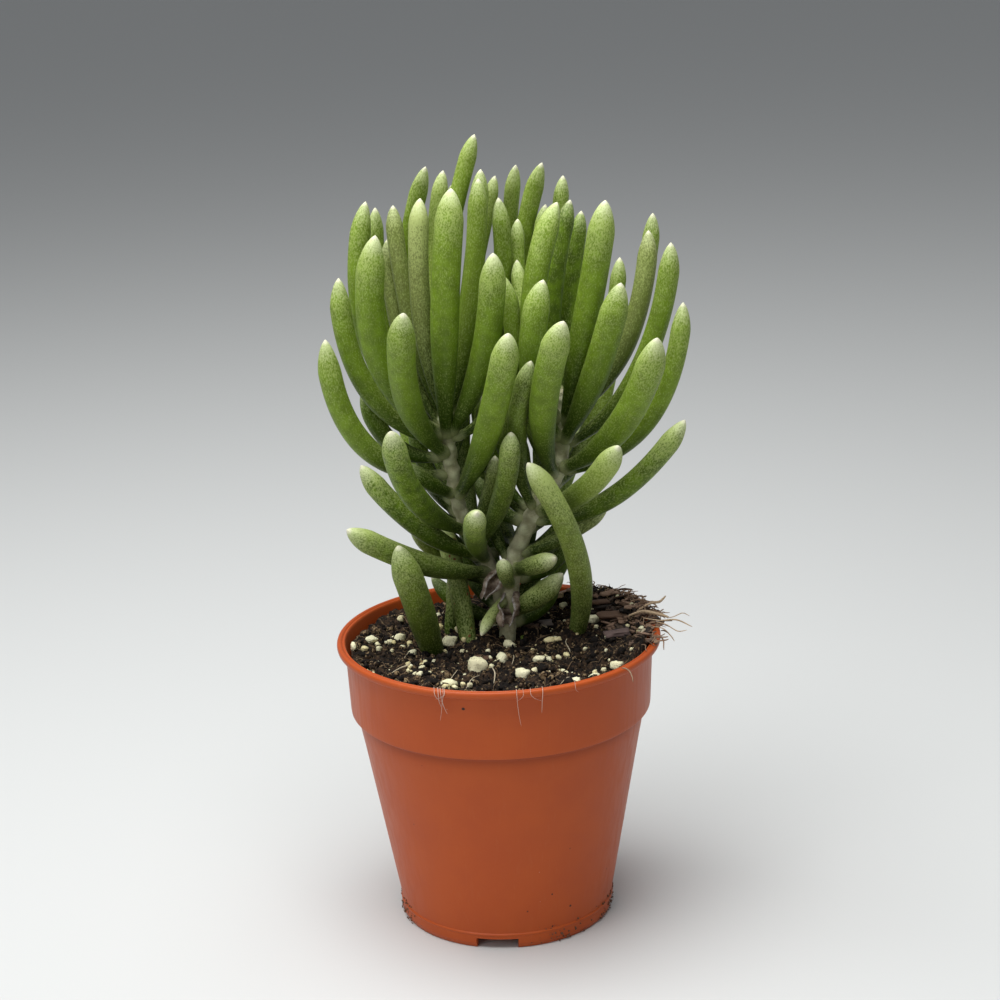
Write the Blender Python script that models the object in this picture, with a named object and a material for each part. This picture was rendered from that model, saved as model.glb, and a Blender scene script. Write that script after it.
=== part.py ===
"""A senecio with two leafy stems in a round plastic nursery pot.

Every length is in millimetres until a mesh is made, where MM turns it into metres.
Plant and pot are laid out from the pot's axis, and SHIFT_X then puts the middle of the
whole object's box over the origin. -Y is the side that faces the viewer.
"""

import bpy
import bmesh
import numpy as np
from mathutils import Matrix

MM = 0.001
SHIFT_X = -6.3
CLEARANCE = 0.35

# Pot
POT_HEIGHT = 125.0
LIP_RADIUS = 69.0
LIP_HEIGHT = 3.2
COLLAR_TOP_RADIUS = 65.4
COLLAR_RADIUS = 64.0
COLLAR_BOTTOM = 96.0
SHOULDER_BOTTOM = 81.0
SHOULDER_RADIUS = 59.3
BASE_RADIUS = 46.1
FOOT_RADIUS = 46.5
FOOT_BEVEL = 1.1
FOOT_HEIGHT = 6.4
FOOT_WIDTH = 2.6
RECESS = 4.8
WALL = 1.8
POT_SIDES = 48
NOTCH_WIDTH, NOTCH_HEIGHT = 18.0, 4.5
NOTCH_TURN, NOTCHES = -96.0, 4
DRAIN_RADIUS, DRAIN_PLACE = 5.0, 30.0

# Soil
SOIL_LEVEL = 117.5
SOIL_MOUND = 3.0
EDGE_RISE, EDGE_START = 2.5, 44.0
HEAP, HEAP_TURN, HEAP_SPREAD, HEAP_START = 5.5, 34.0, 34.0, 36.0
UNEVEN = 0.8
SOIL_RINGS = (57.0, 50.5, 44.0, 37.5, 31.0, 24.5, 18.0, 12.0, 6.0)
SOIL_SEED = 11
GRAINS, GRAIN_HEIGHT = 34, 2.0

# Stems: the points that each one passes through, from its root end up, and its radius
STEMS = {
    "left": (
        ((3, 26, 92), (3, 26, 122), (-3, 25, 147), (-13, 24, 168),
         (-17, 23, 186), (-19, 22, 205), (-18, 22, 228)),
        3.1,
    ),
    "right": (
        ((4, 14, 92), (4, 14, 124), (6, 15, 140), (9, 16, 156),
         (17, 17, 173), (27, 18, 190), (30, 18, 208), (30, 18, 226)),
        3.5,
    ),
}
STEM_SIDES, STEM_RINGS = 10, 11

# Leaves that show from the front: height of the root on the stem, the tip's place,
# sideways bow of the middle (to +X where positive) and thickness
LEFT_LEAVES = (
    (222, (-3, 45, 331), -7.5, 7.6),
    (218, (-1, 40, 317), 2.5, 8.2),
    (214, (-2, 22, 316), 3.5, 8.8),
    (216, (-24, 48, 317), -14, 7.8),
    (221, (-17, 58, 314), -6, 7.0),
    (219, (-13, 61, 308), -2.5, 6.4),
    (221, (5, 58, 311), -0.5, 6.4),
    (212, (6, 42, 304), 11, 7.8),
    (205, (-13, 0, 316), -1.5, 11.8),
    (214, (-26, 14, 310), -5, 8.4),
    (212, (-38, 30, 305), -4.5, 7.6),
    (209, (-41, 36, 290), -7, 7.4),
    (208, (-49, 28, 307), -18.5, 9.2),
    (213, (-46, 46, 301), -10.5, 7.0),
    (206, (-44, -6, 299), -15, 11.8),
    (204, (-61, 14, 278), -15.5, 9.0),
    (199, (-54, 24, 228), -11, 8.2),
    (190, (-67, 2, 255), -18.5, 9.8),
    (198, (-33, -30, 272), -9, 11.8),
    (207, (3, -10, 291), 6.5, 11.0),
    (205, (6, 8, 279), 16.5, 8.0),
    (179, (8, -32, 263), 4, 11.8),
    (164, (-40, -38, 226), -9, 10.4),
    (180, (-36, 4, 200), -1.5, 7.0),
    (152, (-55, -2, 202), -6.5, 9.5),
    (145, (-61, -24, 181), -5, 10.2),
    (150, (-7, -32, 189), -3, 9.4),
    (157, (8, -16, 218), 4, 8.8),
    (163, (1, 2, 203), 3, 7.0),
    (139, (-36, 24, 165), -4, 6.4),
)
RIGHT_LEAVES = (
    (221, (14, 61, 314), -11, 6.8),
    (219, (25, 50, 317), -13.5, 7.8),
    (222, (34, 58, 310), -2.5, 6.8),
    (209, (13, 36, 279), -4, 6.4),
    (211, (30, 16, 306), -12, 10.2),
    (213, (36, 30, 305), -6, 7.8),
    (215, (41, 42, 298), -1.5, 7.0),
    (210, (49, 0, 309), 1, 11.4),
    (204, (23, -12, 280), -9, 11.0),
    (188, (30, -36, 268), -6.5, 11.8),
    (174, (17, -8, 245), -7, 8.4),
    (211, (56, 28, 280), 6, 7.0),
    (203, (54, -14, 278), 2.5, 11.8),
    (214, (68, 24, 292), 11, 8.4),
    (216, (71, 44, 295), 11, 7.4),
    (202, (76, 10, 289), 13.5, 9.0),
    (191, (80, 0, 266), 17.5, 8.6),
    (192, (67, -32, 259), 9.5, 12.0),
    (174, (51, -32, 215), 5.5, 10.2),
    (170, (80, -6, 218), 10.5, 9.0),
    (155, (48, 6, 178), 2.5, 7.4),
    (148, (25, -12, 162), 0.5, 8.6),
    (130, (28, 0, 151), 2, 9.6),
    (141, (3, -8, 161), -1, 7.0),
    (153, (-6, 7, 138), -1, 5.0),
    (139, (3, 3, 127), 0, 5.0),
    (217, (14, 48, 294), -7, 6.4),
    (218, (26, 49, 299.5), -7, 6.4),
    (136, (-7.5, 0, 124), -1.5, 5.2),
)
# Leaves behind, which the front hides, are placed by a rule
BACK_LEAVES = 11
BACK_SEEDS = {"left": 5, "right": 9}
BACK_ROOTS = (150.0, 216.0)
BACK_SPREAD = 75.0
BACK_LENGTHS = (62.0, 80.0)
BACK_THICKNESS = (7.5, 9.5)
BACK_LIMIT = 61.0
GOLDEN_SHARE = 0.618

# Leaves that stand in the soil: the foot's x and y, the tip, the bow and the thickness
SOIL_LEAVES = {
    "soil_leaf_arched": ((28, 18), (14, -24, 207), 13, 9.8),
    "soil_leaf_front": ((-26, 10), (-40, -16, 171), 0, 12.7),
    "soil_leaf_speckled": ((-12, 3), (-23, 20, 170), 1.5, 8.6),
    "soil_leaf_back": ((-22, 24), (-18, 24, 148), 0.5, 7.5),
}
SOIL_LEAF_ROOT = 106.0

# Form of a leaf
LEAF_SIDES = 7
BODY_RINGS = (0.0, 0.17, 0.37, 0.58, 0.79)
TIP_RINGS = (1.0, 0.45, 0.12)
ROOT_SHARE, SOIL_ROOT_SHARE = 0.30, 0.55
TIP_LENGTH = 1.3
BOW_SKEW = 0.85
DEPTH_BOW, BACK_BOW = 0.12, 0.16
# The line of sight of someone who looks a little down on the pot from the front
SIGHT = np.array((0.0, 0.956, -0.292))

# How leaves that would cross are bent clear
SAMPLES = 17
LEAF_GAP = 0.8
BEND_STEPS = 160
BEND_RATE = 0.9
ROOT_ZONE = 0.3
NEARBY = 4.0
LIST_EVERY = 20

LEAF_GREEN = (0.16, 0.27, 0.04, 1.0)
MEALY_GREEN = (0.24, 0.30, 0.13, 1.0)
TERRACOTTA = (0.38, 0.09, 0.035, 1.0)
PEAT = (0.03, 0.018, 0.011, 1.0)


def clear_scene():
    for obj in list(bpy.data.objects):
        bpy.data.objects.remove(obj, do_unlink=True)


def make_material(name, colour, roughness):
    material = bpy.data.materials.new(name)
    material.use_nodes = True
    shader = material.node_tree.nodes["Principled BSDF"]
    shader.inputs["Base Color"].default_value = colour
    shader.inputs["Roughness"].default_value = roughness
    shader.inputs["Metallic"].default_value = 0.0
    return material


def add_object(name, bm, material=None):
    """An object from a bmesh in millimetres about the pot's axis, moved and scaled to metres."""
    bm.normal_update()
    bmesh.ops.recalc_face_normals(bm, faces=bm.faces)
    bm.transform(Matrix.Scale(MM, 4) @ Matrix.Translation((SHIFT_X, 0, 0)))
    mesh = bpy.data.meshes.new(name)
    bm.to_mesh(mesh)
    bm.free()
    if material:
        mesh.materials.append(material)
    obj = bpy.data.objects.new(name, mesh)
    bpy.context.scene.collection.objects.link(obj)
    return obj


def as_cutter(obj):
    obj.hide_render = True
    obj.display_type = "WIRE"


def smooth_curve(points, count):
    """Evenly numbered points on a Catmull-Rom curve through the given ones."""
    given = np.array(points, float)
    ends = np.vstack([2 * given[0] - given[1], given, 2 * given[-1] - given[-2]])
    spans = len(given) - 1
    along = np.linspace(0, spans, count)
    first = np.minimum(along.astype(int), spans - 1)
    f = (along - first)[:, None]
    a, b, c, d = (ends[first + k] for k in range(4))
    return 0.5 * (2 * b + (c - a) * f + (2 * a - 5 * b + 4 * c - d) * f**2
                  + (3 * b - a - 3 * c + d) * f**3)


def on_stem(name, height):
    path = smooth_curve(STEMS[name][0], 200)
    return np.array([np.interp(height, path[:, 2], path[:, k]) for k in (0, 1, 2)])


def leaf_form(root, tip, thickness, root_share):
    """A leaf's thickness, its root as a share of that, and its rounded tip as a share of its length."""
    return thickness, root_share, TIP_LENGTH * thickness / np.linalg.norm(tip - root)


def leaf_radius(t, form):
    """Narrow at the root, full from the middle on, and closed by half an ellipse at the tip."""
    thickness, root_share, tip_share = form
    rise = root_share + (1 - root_share) * np.sin(np.pi / 2 * np.minimum(t / 0.5, 1))
    from_tip = np.clip((1 - t) / tip_share, 0, 1)
    return thickness / 2 * rise * np.sqrt(np.clip(1 - (1 - from_tip) ** 2, 0, 1))


def leaf_centre(root, tip, t, sideways, depth_bow, free_bow):
    """The chord from root to tip, bowed sideways across the line of sight and outwards."""
    chord = tip - root
    length = np.linalg.norm(chord)
    along = chord / length
    side = np.cross(SIGHT, along)
    side *= np.sign(side[0]) / np.linalg.norm(side)
    out = chord * (1, 1, 0)
    out /= np.linalg.norm(out)
    out = out - (out @ along) * along
    out /= np.linalg.norm(out)
    bend = side * sideways + SIGHT * (out @ SIGHT) * depth_bow * length + out * free_bow * length
    skewed = t**BOW_SKEW
    return root + chord * t[:, None] + (4 * skewed * (1 - skewed))[:, None] * bend


def back_leaves(name):
    """Roots, tips and thicknesses of the leaves that the front ones hide."""
    rng = np.random.default_rng(BACK_SEEDS[name])
    low, high = BACK_ROOTS
    for k in range(BACK_LEAVES):
        turn = np.radians(90 + ((k * GOLDEN_SHARE) % 1 - 0.5) * BACK_SPREAD) + rng.uniform(-0.1, 0.1)
        lift = np.radians(22 + 44 * k / BACK_LEAVES + rng.uniform(-6, 6))
        root = on_stem(name, low + (high - low) * (k + 0.5) / BACK_LEAVES)
        way = np.array((np.cos(lift) * np.cos(turn), np.cos(lift) * np.sin(turn), np.sin(lift)))
        tip = root + rng.uniform(*BACK_LENGTHS) * way
        tip[1] = min(tip[1], BACK_LIMIT)
        yield root, tip, rng.uniform(*BACK_THICKNESS)


def lay_out_leaves():
    """Every leaf as its owner, its centre line at SAMPLES places, its form and whether it shows."""
    t = np.linspace(0, 1, SAMPLES)
    leaves = []
    for name, rows in (("left", LEFT_LEAVES), ("right", RIGHT_LEAVES)):
        for height, tip, bow, thickness in rows:
            root, tip = on_stem(name, height), np.array(tip, float)
            line = leaf_centre(root, tip, t, bow, DEPTH_BOW, 0.0)
            leaves.append((name, line, leaf_form(root, tip, thickness, ROOT_SHARE), True))
        for root, tip, thickness in back_leaves(name):
            line = leaf_centre(root, tip, t, 0.0, 0.0, BACK_BOW)
            leaves.append((name, line, leaf_form(root, tip, thickness, ROOT_SHARE), False))
    for name, (foot, tip, bow, thickness) in SOIL_LEAVES.items():
        root, tip = np.array((*foot, SOIL_LEAF_ROOT), float), np.array(tip, float)
        line = leaf_centre(root, tip, t, bow, DEPTH_BOW, 0.0)
        leaves.append((name, line, leaf_form(root, tip, thickness, SOIL_ROOT_SHARE), True))
    return leaves


def bend_clear(leaves):
    """Bends leaves that would cross until LEAF_GAP lies between them.

    Each leaf is a row of balls. Balls of two leaves that come too near push each other, and a
    leaf follows its pushes with two smooth shapes only, one for the tip and one for the middle.
    Leaves that show from the front move along the line of sight, so they stay where they show.
    """
    t = np.linspace(0, 1, SAMPLES)
    start = np.array([leaf[1] for leaf in leaves])
    radius = np.array([leaf_radius(t, leaf[2]) for leaf in leaves]).reshape(-1)
    owners = [leaf[0] for leaf in leaves]
    shows = np.array([leaf[3] for leaf in leaves])
    leaf_of = np.repeat(np.arange(len(leaves)), SAMPLES)
    owner_of = np.array([sorted(set(owners)).index(owner) for owner in owners])[leaf_of]
    place = np.tile(t, len(leaves))
    stem_balls = np.vstack([smooth_curve(STEMS[name][0], 60) for name in STEMS])
    stem_owner = np.repeat([sorted(set(owners)).index(name) for name in STEMS], 60)
    all_radius = np.concatenate([radius, np.repeat([STEMS[name][1] for name in STEMS], 60)])
    all_owner = np.concatenate([owner_of, stem_owner])
    all_leaf = np.concatenate([leaf_of, -1 - stem_owner])
    all_place = np.concatenate([place, np.zeros(len(stem_balls))])
    shapes = np.stack([t**1.5, 4 * t * (1 - t)], 1)
    fit = np.linalg.pinv(shapes)
    bends = np.zeros((len(leaves), 2, 3))
    for step in range(BEND_STEPS):
        balls = (start + np.einsum("mk,nkd->nmd", shapes, bends)).reshape(-1, 3)
        others = np.vstack([balls, stem_balls])
        if step % LIST_EVERY == 0:
            apart = np.linalg.norm(balls[:, None] - others[None], axis=2)
            near = apart < radius[:, None] + all_radius + LEAF_GAP + NEARBY
            near &= leaf_of[:, None] != all_leaf
            near &= ~((place[:, None] < ROOT_ZONE) & (all_place < ROOT_ZONE)
                      & (owner_of[:, None] == all_owner))
            a, b = np.nonzero(near)
        gap = balls[a] - others[b]
        distance = np.linalg.norm(gap, axis=1)
        short = np.maximum(radius[a] + all_radius[b] + LEAF_GAP - distance, 0)
        share = short / (np.bincount(a, short, len(balls)) + 1e-9)[a]
        share *= np.where(b < len(balls), 0.5, 1.0)
        force = (short * share / distance)[:, None] * gap
        push = np.stack([np.bincount(a, force[:, k], len(balls)) for k in range(3)], 1)
        push = push.reshape(len(leaves), SAMPLES, 3)
        seen = push @ SIGHT
        seen = np.sign(seen) * np.maximum(np.abs(seen), 0.6 * np.linalg.norm(push, axis=2))
        push = np.where(shows[:, None, None], seen[..., None] * SIGHT, push)
        bends += BEND_RATE * np.einsum("km,nmd->nkd", fit, push)
    lines = start + np.einsum("mk,nkd->nmd", shapes, bends)
    return [(owner, line, form) for (owner, _, form, _), line in zip(leaves, lines)]


def at_places(line, places):
    known = np.linspace(0, 1, len(line))
    return np.stack([np.interp(places, known, line[:, k]) for k in range(3)], 1)


def ring_frames(path):
    """Two directions across the path at each point, carried along it without twist."""
    ahead = np.gradient(path, axis=0)
    ahead /= np.linalg.norm(ahead, axis=1)[:, None]
    side = np.cross(ahead[0], (0.0, 1.0, 0.0))
    sides = []
    for forward in ahead:
        side = side - (side @ forward) * forward
        side /= np.linalg.norm(side)
        sides.append(side)
    sides = np.array(sides)
    return sides, np.cross(ahead, sides)


def tube(path, radii, sides, tip=None):
    """A closed tube of rings about the path, ending in a point where tip is given."""
    bm = bmesh.new()
    across, over = ring_frames(path)
    angles = np.arange(sides) * 2 * np.pi / sides
    rings = []
    for centre, u, v, radius in zip(path, across, over, radii):
        offsets = np.cos(angles)[:, None] * u + np.sin(angles)[:, None] * v
        rings.append([bm.verts.new(centre + radius * offset) for offset in offsets])
    for low, high in zip(rings, rings[1:]):
        for k in range(sides):
            m = (k + 1) % sides
            bm.faces.new((low[k], low[m], high[m], high[k]))
    bm.faces.new(reversed(rings[0]))
    if tip is None:
        bm.faces.new(rings[-1])
    else:
        end = bm.verts.new(tip)
        for k in range(sides):
            bm.faces.new((rings[-1][k], rings[-1][(k + 1) % sides], end))
    return bm


def leaf_tube(leaf, grow=0.0):
    """A leaf's tube, or with grow the same tube that much fatter and longer at the root."""
    _, line, form = leaf
    tip_share = form[2]
    places = [(1 - tip_share) * share for share in BODY_RINGS]
    places = np.array(places + [1 - tip_share * share for share in TIP_RINGS])
    path = at_places(line, places)
    radii = leaf_radius(places, form) + grow
    ahead = path[1] - path[0]
    path[0] -= grow * ahead / np.linalg.norm(ahead)
    return tube(path, radii, LEAF_SIDES, tip=line[-1])


def stem_tube(name, grow=0.0):
    points, radius = STEMS[name]
    path = smooth_curve(points, STEM_RINGS)
    path[0, 2] -= grow
    radii = radius * np.linspace(1.08, 0.92, STEM_RINGS) + grow
    return tube(path, radii, STEM_SIDES)


def union_with(obj, others):
    """Joins the others to obj with one Boolean union on a collection, then removes them."""
    group = bpy.data.collections.new(obj.name + "_repeats")
    bpy.context.scene.collection.children.link(group)
    for other in others:
        bpy.context.scene.collection.objects.unlink(other)
        group.objects.link(other)
    union = obj.modifiers.new("union", "BOOLEAN")
    union.operation = "UNION"
    union.solver = "EXACT"
    union.operand_type = "COLLECTION"
    union.collection = group
    bpy.context.view_layer.objects.active = obj
    bpy.ops.object.modifier_apply(modifier=union.name)
    for other in others:
        bpy.data.objects.remove(other, do_unlink=True)
    bpy.data.collections.remove(group)


def cut_with(obj, cutters, name):
    group = bpy.data.collections.new(name)
    bpy.context.scene.collection.children.link(group)
    for cutter in cutters:
        as_cutter(cutter)
        bpy.context.scene.collection.objects.unlink(cutter)
        group.objects.link(cutter)
    cut = obj.modifiers.new(name, "BOOLEAN")
    cut.operation = "DIFFERENCE"
    cut.solver = "EXACT"
    cut.operand_type = "COLLECTION"
    cut.collection = group


def make_leafy_stem(name, leaves, material):
    stem = add_object("leafy_stem_" + name, stem_tube(name), material)
    own = [leaf for leaf in leaves if leaf[0] == name]
    blades = [add_object(f"{name}_leaf_{k}", leaf_tube(leaf)) for k, leaf in enumerate(own)]
    union_with(stem, blades)
    return stem


def outer_wall():
    """The pot's outer side as radius and height, from the foot up to the collar's top."""
    return [
        (FOOT_RADIUS - FOOT_BEVEL, 0.0),
        (FOOT_RADIUS, 2 * FOOT_BEVEL),
        (FOOT_RADIUS, FOOT_HEIGHT),
        (BASE_RADIUS, FOOT_HEIGHT + 0.4),
        (SHOULDER_RADIUS, SHOULDER_BOTTOM),
        (60.8, 87.0),
        (62.3, 91.8),
        (COLLAR_RADIUS, COLLAR_BOTTOM),
        (COLLAR_TOP_RADIUS, POT_HEIGHT - LIP_HEIGHT - 0.6),
    ]


def inner_wall():
    """The pot's inner side, which keeps the wall's thickness, from the floor up."""
    floor = RECESS + WALL
    walls = [(radius - WALL, height) for radius, height in outer_wall()[4:]]
    return [(BASE_RADIUS - WALL, floor)] + walls


def pot_profile():
    lip = [
        (LIP_RADIUS - 0.8, POT_HEIGHT - LIP_HEIGHT),
        (LIP_RADIUS, POT_HEIGHT - LIP_HEIGHT + 0.8),
        (LIP_RADIUS, POT_HEIGHT - 0.9),
        (LIP_RADIUS - 0.9, POT_HEIGHT),
        (LIP_RADIUS - 3.4, POT_HEIGHT),
        (COLLAR_TOP_RADIUS - WALL + 0.4, POT_HEIGHT - 1.2),
    ]
    under = [(0.0, RECESS), (FOOT_RADIUS - FOOT_WIDTH, RECESS), (FOOT_RADIUS - FOOT_WIDTH, 0.0)]
    inside = inner_wall()[::-1] + [(0.0, RECESS + WALL)]
    return under + outer_wall() + lip + inside


def turned(profile):
    """The profile spun once round Z."""
    bm = bmesh.new()
    verts = [bm.verts.new((radius, 0.0, height)) for radius, height in profile]
    edges = [bm.edges.new(pair) for pair in zip(verts, verts[1:])]
    bmesh.ops.spin(bm, geom=verts + edges, cent=(0, 0, 0), axis=(0, 0, 1),
                   angle=2 * np.pi, steps=POT_SIDES, use_merge=True)
    bmesh.ops.remove_doubles(bm, verts=bm.verts, dist=1e-4)
    return bm


def notch_cutter(turn):
    bm = bmesh.new()
    bmesh.ops.create_cube(bm, size=1.0)
    bm.transform(Matrix.Rotation(np.radians(turn), 4, "Z")
                 @ Matrix.Translation((FOOT_RADIUS - 1.0, 0, NOTCH_HEIGHT / 2 - 1))
                 @ Matrix.Diagonal((8.0, NOTCH_WIDTH, NOTCH_HEIGHT + 2, 1)))
    return bm


def drain_cutter(turn):
    bm = bmesh.new()
    bmesh.ops.create_cone(bm, cap_ends=True, segments=12, radius1=DRAIN_RADIUS,
                          radius2=DRAIN_RADIUS, depth=8.0)
    bm.transform(Matrix.Rotation(np.radians(turn), 4, "Z")
                 @ Matrix.Translation((DRAIN_PLACE, 0, RECESS + WALL / 2)))
    return bm


def make_pot(material):
    pot = add_object("pot", turned(pot_profile()), material)
    turns = [NOTCH_TURN + 360 * k / NOTCHES for k in range(NOTCHES)]
    cutters = [add_object(f"notch_{k}", notch_cutter(turn)) for k, turn in enumerate(turns)]
    cutters += [add_object(f"drain_{k}", drain_cutter(turn)) for k, turn in enumerate(turns)]
    cut_with(pot, cutters, "pot_cuts")
    return pot


def soil_height(x, y):
    """Height of the soil: level but for a low mound to the right, a rise to the wall and a heap.

    Broad unevenness and single grains lie on that.
    """
    rng = np.random.default_rng(SOIL_SEED)
    height = SOIL_LEVEL + SOIL_MOUND * np.clip(x / 60, 0, 1) ** 2 + 0 * y
    away = np.hypot(x, y)
    turn = np.degrees(np.arctan2(y, x))
    height = height + EDGE_RISE * np.clip((away - EDGE_START) / (COLLAR_RADIUS - EDGE_START), 0, 1) ** 2
    heaped = np.clip((away - HEAP_START) / (COLLAR_RADIUS - HEAP_START), 0, 1) ** 1.5
    height = height + HEAP * heaped * np.exp(-(((turn - HEAP_TURN) / HEAP_SPREAD) ** 2))
    for _ in range(5):
        turn, phase = rng.uniform(0, 2 * np.pi, 2)
        height = height + UNEVEN * np.sin((x * np.cos(turn) + y * np.sin(turn)) / 6.5 + phase)
    reach = np.sqrt(rng.uniform(0.02, 0.85, GRAINS)) * 62
    around = rng.uniform(0, 2 * np.pi, GRAINS)
    for grain_x, grain_y in zip(reach * np.cos(around), reach * np.sin(around)):
        away = np.hypot(x - grain_x, y - grain_y)
        height = height + GRAIN_HEIGHT * np.exp(-((away / 3.2) ** 2))
    return height


def soil_body():
    """Rings up the pot's inner side and inwards over the surface, closed at both ends."""
    bm = bmesh.new()
    turns = np.arange(POT_SIDES) * 2 * np.pi / POT_SIDES
    side = [(radius - CLEARANCE, height) for radius, height in inner_wall()[:-1]]
    side[0] = (side[0][0], side[0][1] + CLEARANCE)
    rings = [(radius, np.full(POT_SIDES, height)) for radius, height in side]
    edge = inner_wall()[-1][0] - CLEARANCE - 0.3
    for radius in (edge,) + SOIL_RINGS:
        rings.append((radius, soil_height(radius * np.cos(turns), radius * np.sin(turns))))
    loops = [
        [bm.verts.new((r * np.cos(a), r * np.sin(a), h)) for a, h in zip(turns, heights)]
        for r, heights in rings
    ]
    for low, high in zip(loops, loops[1:]):
        for k in range(POT_SIDES):
            m = (k + 1) % POT_SIDES
            bm.faces.new((low[k], low[m], high[m], high[k]))
    bm.faces.new(loops[0])
    centre = bm.verts.new((0, 0, float(soil_height(0.0, 0.0))))
    for k in range(POT_SIDES):
        bm.faces.new((loops[-1][k], loops[-1][(k + 1) % POT_SIDES], centre))
    bmesh.ops.triangulate(bm, faces=bm.faces)
    return bm


def make_soil(leaves, material):
    """The soil, with a plain hole for each stem and for each leaf that stands in it."""
    soil = add_object("soil", soil_body(), material)
    cutters = [add_object(f"stem_hole_{name}", stem_tube(name, CLEARANCE)) for name in STEMS]
    cutters += [add_object("hole_" + leaf[0], leaf_tube(leaf, CLEARANCE))
                for leaf in leaves if leaf[0] in SOIL_LEAVES]
    cut_with(soil, cutters, "soil_holes")
    return soil


def shade_round(obj):
    obj.data.shade_smooth()
    obj.data.set_sharp_from_angle(angle=np.radians(40))


def main():
    clear_scene()
    green = make_material("leaf_green", LEAF_GREEN, 0.45)
    mealy = make_material("mealy_green", MEALY_GREEN, 0.6)
    leaves = bend_clear(lay_out_leaves())
    pieces = [make_pot(make_material("pot_plastic", TERRACOTTA, 0.42))]
    pieces.append(make_soil(leaves, make_material("peat", PEAT, 0.95)))
    pieces += [make_leafy_stem(name, leaves, green) for name in STEMS]
    pieces += [add_object(leaf[0], leaf_tube(leaf), mealy) for leaf in leaves if leaf[0] in SOIL_LEAVES]
    for piece in pieces:
        shade_round(piece)


main()
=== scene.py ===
"""A finger-leaved senecio with two leafy stems, in a round plastic nursery pot.

Shapes are worked out in millimetres from the pot's axis, with +Z up and -Y towards the viewer.
make_piece moves them to the frame's origin and turns them into metres.
"""

from dataclasses import dataclass, field
from functools import lru_cache

import bmesh
import bpy
import numpy as np
from bpy.props import FloatProperty, FloatVectorProperty, IntProperty, PointerProperty
from mathutils import Matrix


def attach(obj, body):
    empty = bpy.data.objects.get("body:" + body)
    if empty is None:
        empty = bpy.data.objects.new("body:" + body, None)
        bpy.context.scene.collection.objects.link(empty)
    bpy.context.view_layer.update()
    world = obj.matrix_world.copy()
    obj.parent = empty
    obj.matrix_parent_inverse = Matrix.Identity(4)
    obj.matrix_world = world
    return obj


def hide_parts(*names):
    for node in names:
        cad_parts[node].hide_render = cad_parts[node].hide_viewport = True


bl_info = {
    "name": "Potted senecio",
    "version": (1, 0, 0),
    "blender": (4, 5, 0),
    "location": "3D View > Sidebar > Senecio",
    "description": "Builds a potted senecio, its pot, soil, stems and leaves, and a plain stage",
    "category": "Object",
}

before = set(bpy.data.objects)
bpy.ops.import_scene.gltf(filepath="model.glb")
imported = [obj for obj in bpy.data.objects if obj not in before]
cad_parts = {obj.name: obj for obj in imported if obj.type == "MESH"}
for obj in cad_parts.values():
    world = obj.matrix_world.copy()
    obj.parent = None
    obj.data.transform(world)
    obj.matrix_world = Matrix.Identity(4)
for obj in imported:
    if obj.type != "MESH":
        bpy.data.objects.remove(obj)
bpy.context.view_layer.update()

MM = 0.001
SHIFT_X = -6.3
BODY = "root"
TURN = 2 * np.pi

# Pot
POT_HEIGHT = 125.0
LIP_RADIUS = 69.0
LIP_HEIGHT = 3.2
COLLAR_TOP_RADIUS = 65.4
COLLAR_RADIUS = 64.0
COLLAR_BOTTOM = 96.0
COLLAR_EDGE = 94.3
# Corners between the shoulder and the underside of the collar: radius, height and rounding
NECK = ((60.5, 87.0, 2.0), (60.9, 91.5, 1.0))
NECK_RADIUS = 61.0
SHOULDER_BOTTOM = 81.0
SHOULDER_RADIUS = 59.3
BASE_RADIUS = 46.1
FOOT_RADIUS = 46.5
FOOT_BEVEL = 1.1
FOOT_HEIGHT = 6.4
FOOT_WIDTH = 2.6
RECESS = 4.8
WALL = 1.8
NOTCH_WIDTH, NOTCH_HEIGHT = 18.0, 4.5
NOTCH_TURN, NOTCHES = -96.0, 4
DRAIN_RADIUS, DRAIN_PLACE = 5.0, 30.0
DRAIN_DEPTH, DRAIN_SIDES = 8, 40
SHARP_FROM = 38

# Soil
SOIL_LEVEL = 117.5
SOIL_MOUND, MOUND_REACH = 3.0, 60
EDGE_RISE, EDGE_START = 2.5, 44.0
HEAP, HEAP_TURN, HEAP_SPREAD, HEAP_START = 5.5, 34.0, 34.0, 36.0
UNEVEN, WAVES, WAVE_LENGTH = 0.8, 5, 6.5
SOIL_SEED = 11
GRAINS, GRAIN_HEIGHT = 34, 2.0
GRAIN_REACH, GRAIN_WIDTH = 62, 3.2
SOIL_EDGE, SOIL_GAP = 63.0, 0.35
# Lumps on the top of the soil: how high, how wide, and how far shifted in x and y
LUMPS = ((2.1, 5.6, 0, 0), (1.7, 3.0, 3, 0), (0.9, 1.7, 0, 2), (0.4, 1.0, 1, 5))
LUMP_SINK, LUMP_CELLS = 2.5, 64
CREST_RISE, CREST_START, CREST_WIDTH, CREST_SPREAD = 2.6, 48, 12, 30

# Stems: the points that each one passes through, from its root end up, and its radius
STEMS = {
    "left": (
        ((3, 26, 92), (3, 26, 122), (-3, 25, 147), (-13, 24, 168),
         (-17, 23, 186), (-19, 22, 205), (-18, 22, 228)),
        3.1,
    ),
    "right": (
        ((4, 14, 92), (4, 14, 124), (6, 15, 140), (9, 16, 156),
         (17, 17, 173), (27, 18, 190), (30, 18, 208), (30, 18, 226)),
        3.5,
    ),
}

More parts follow.
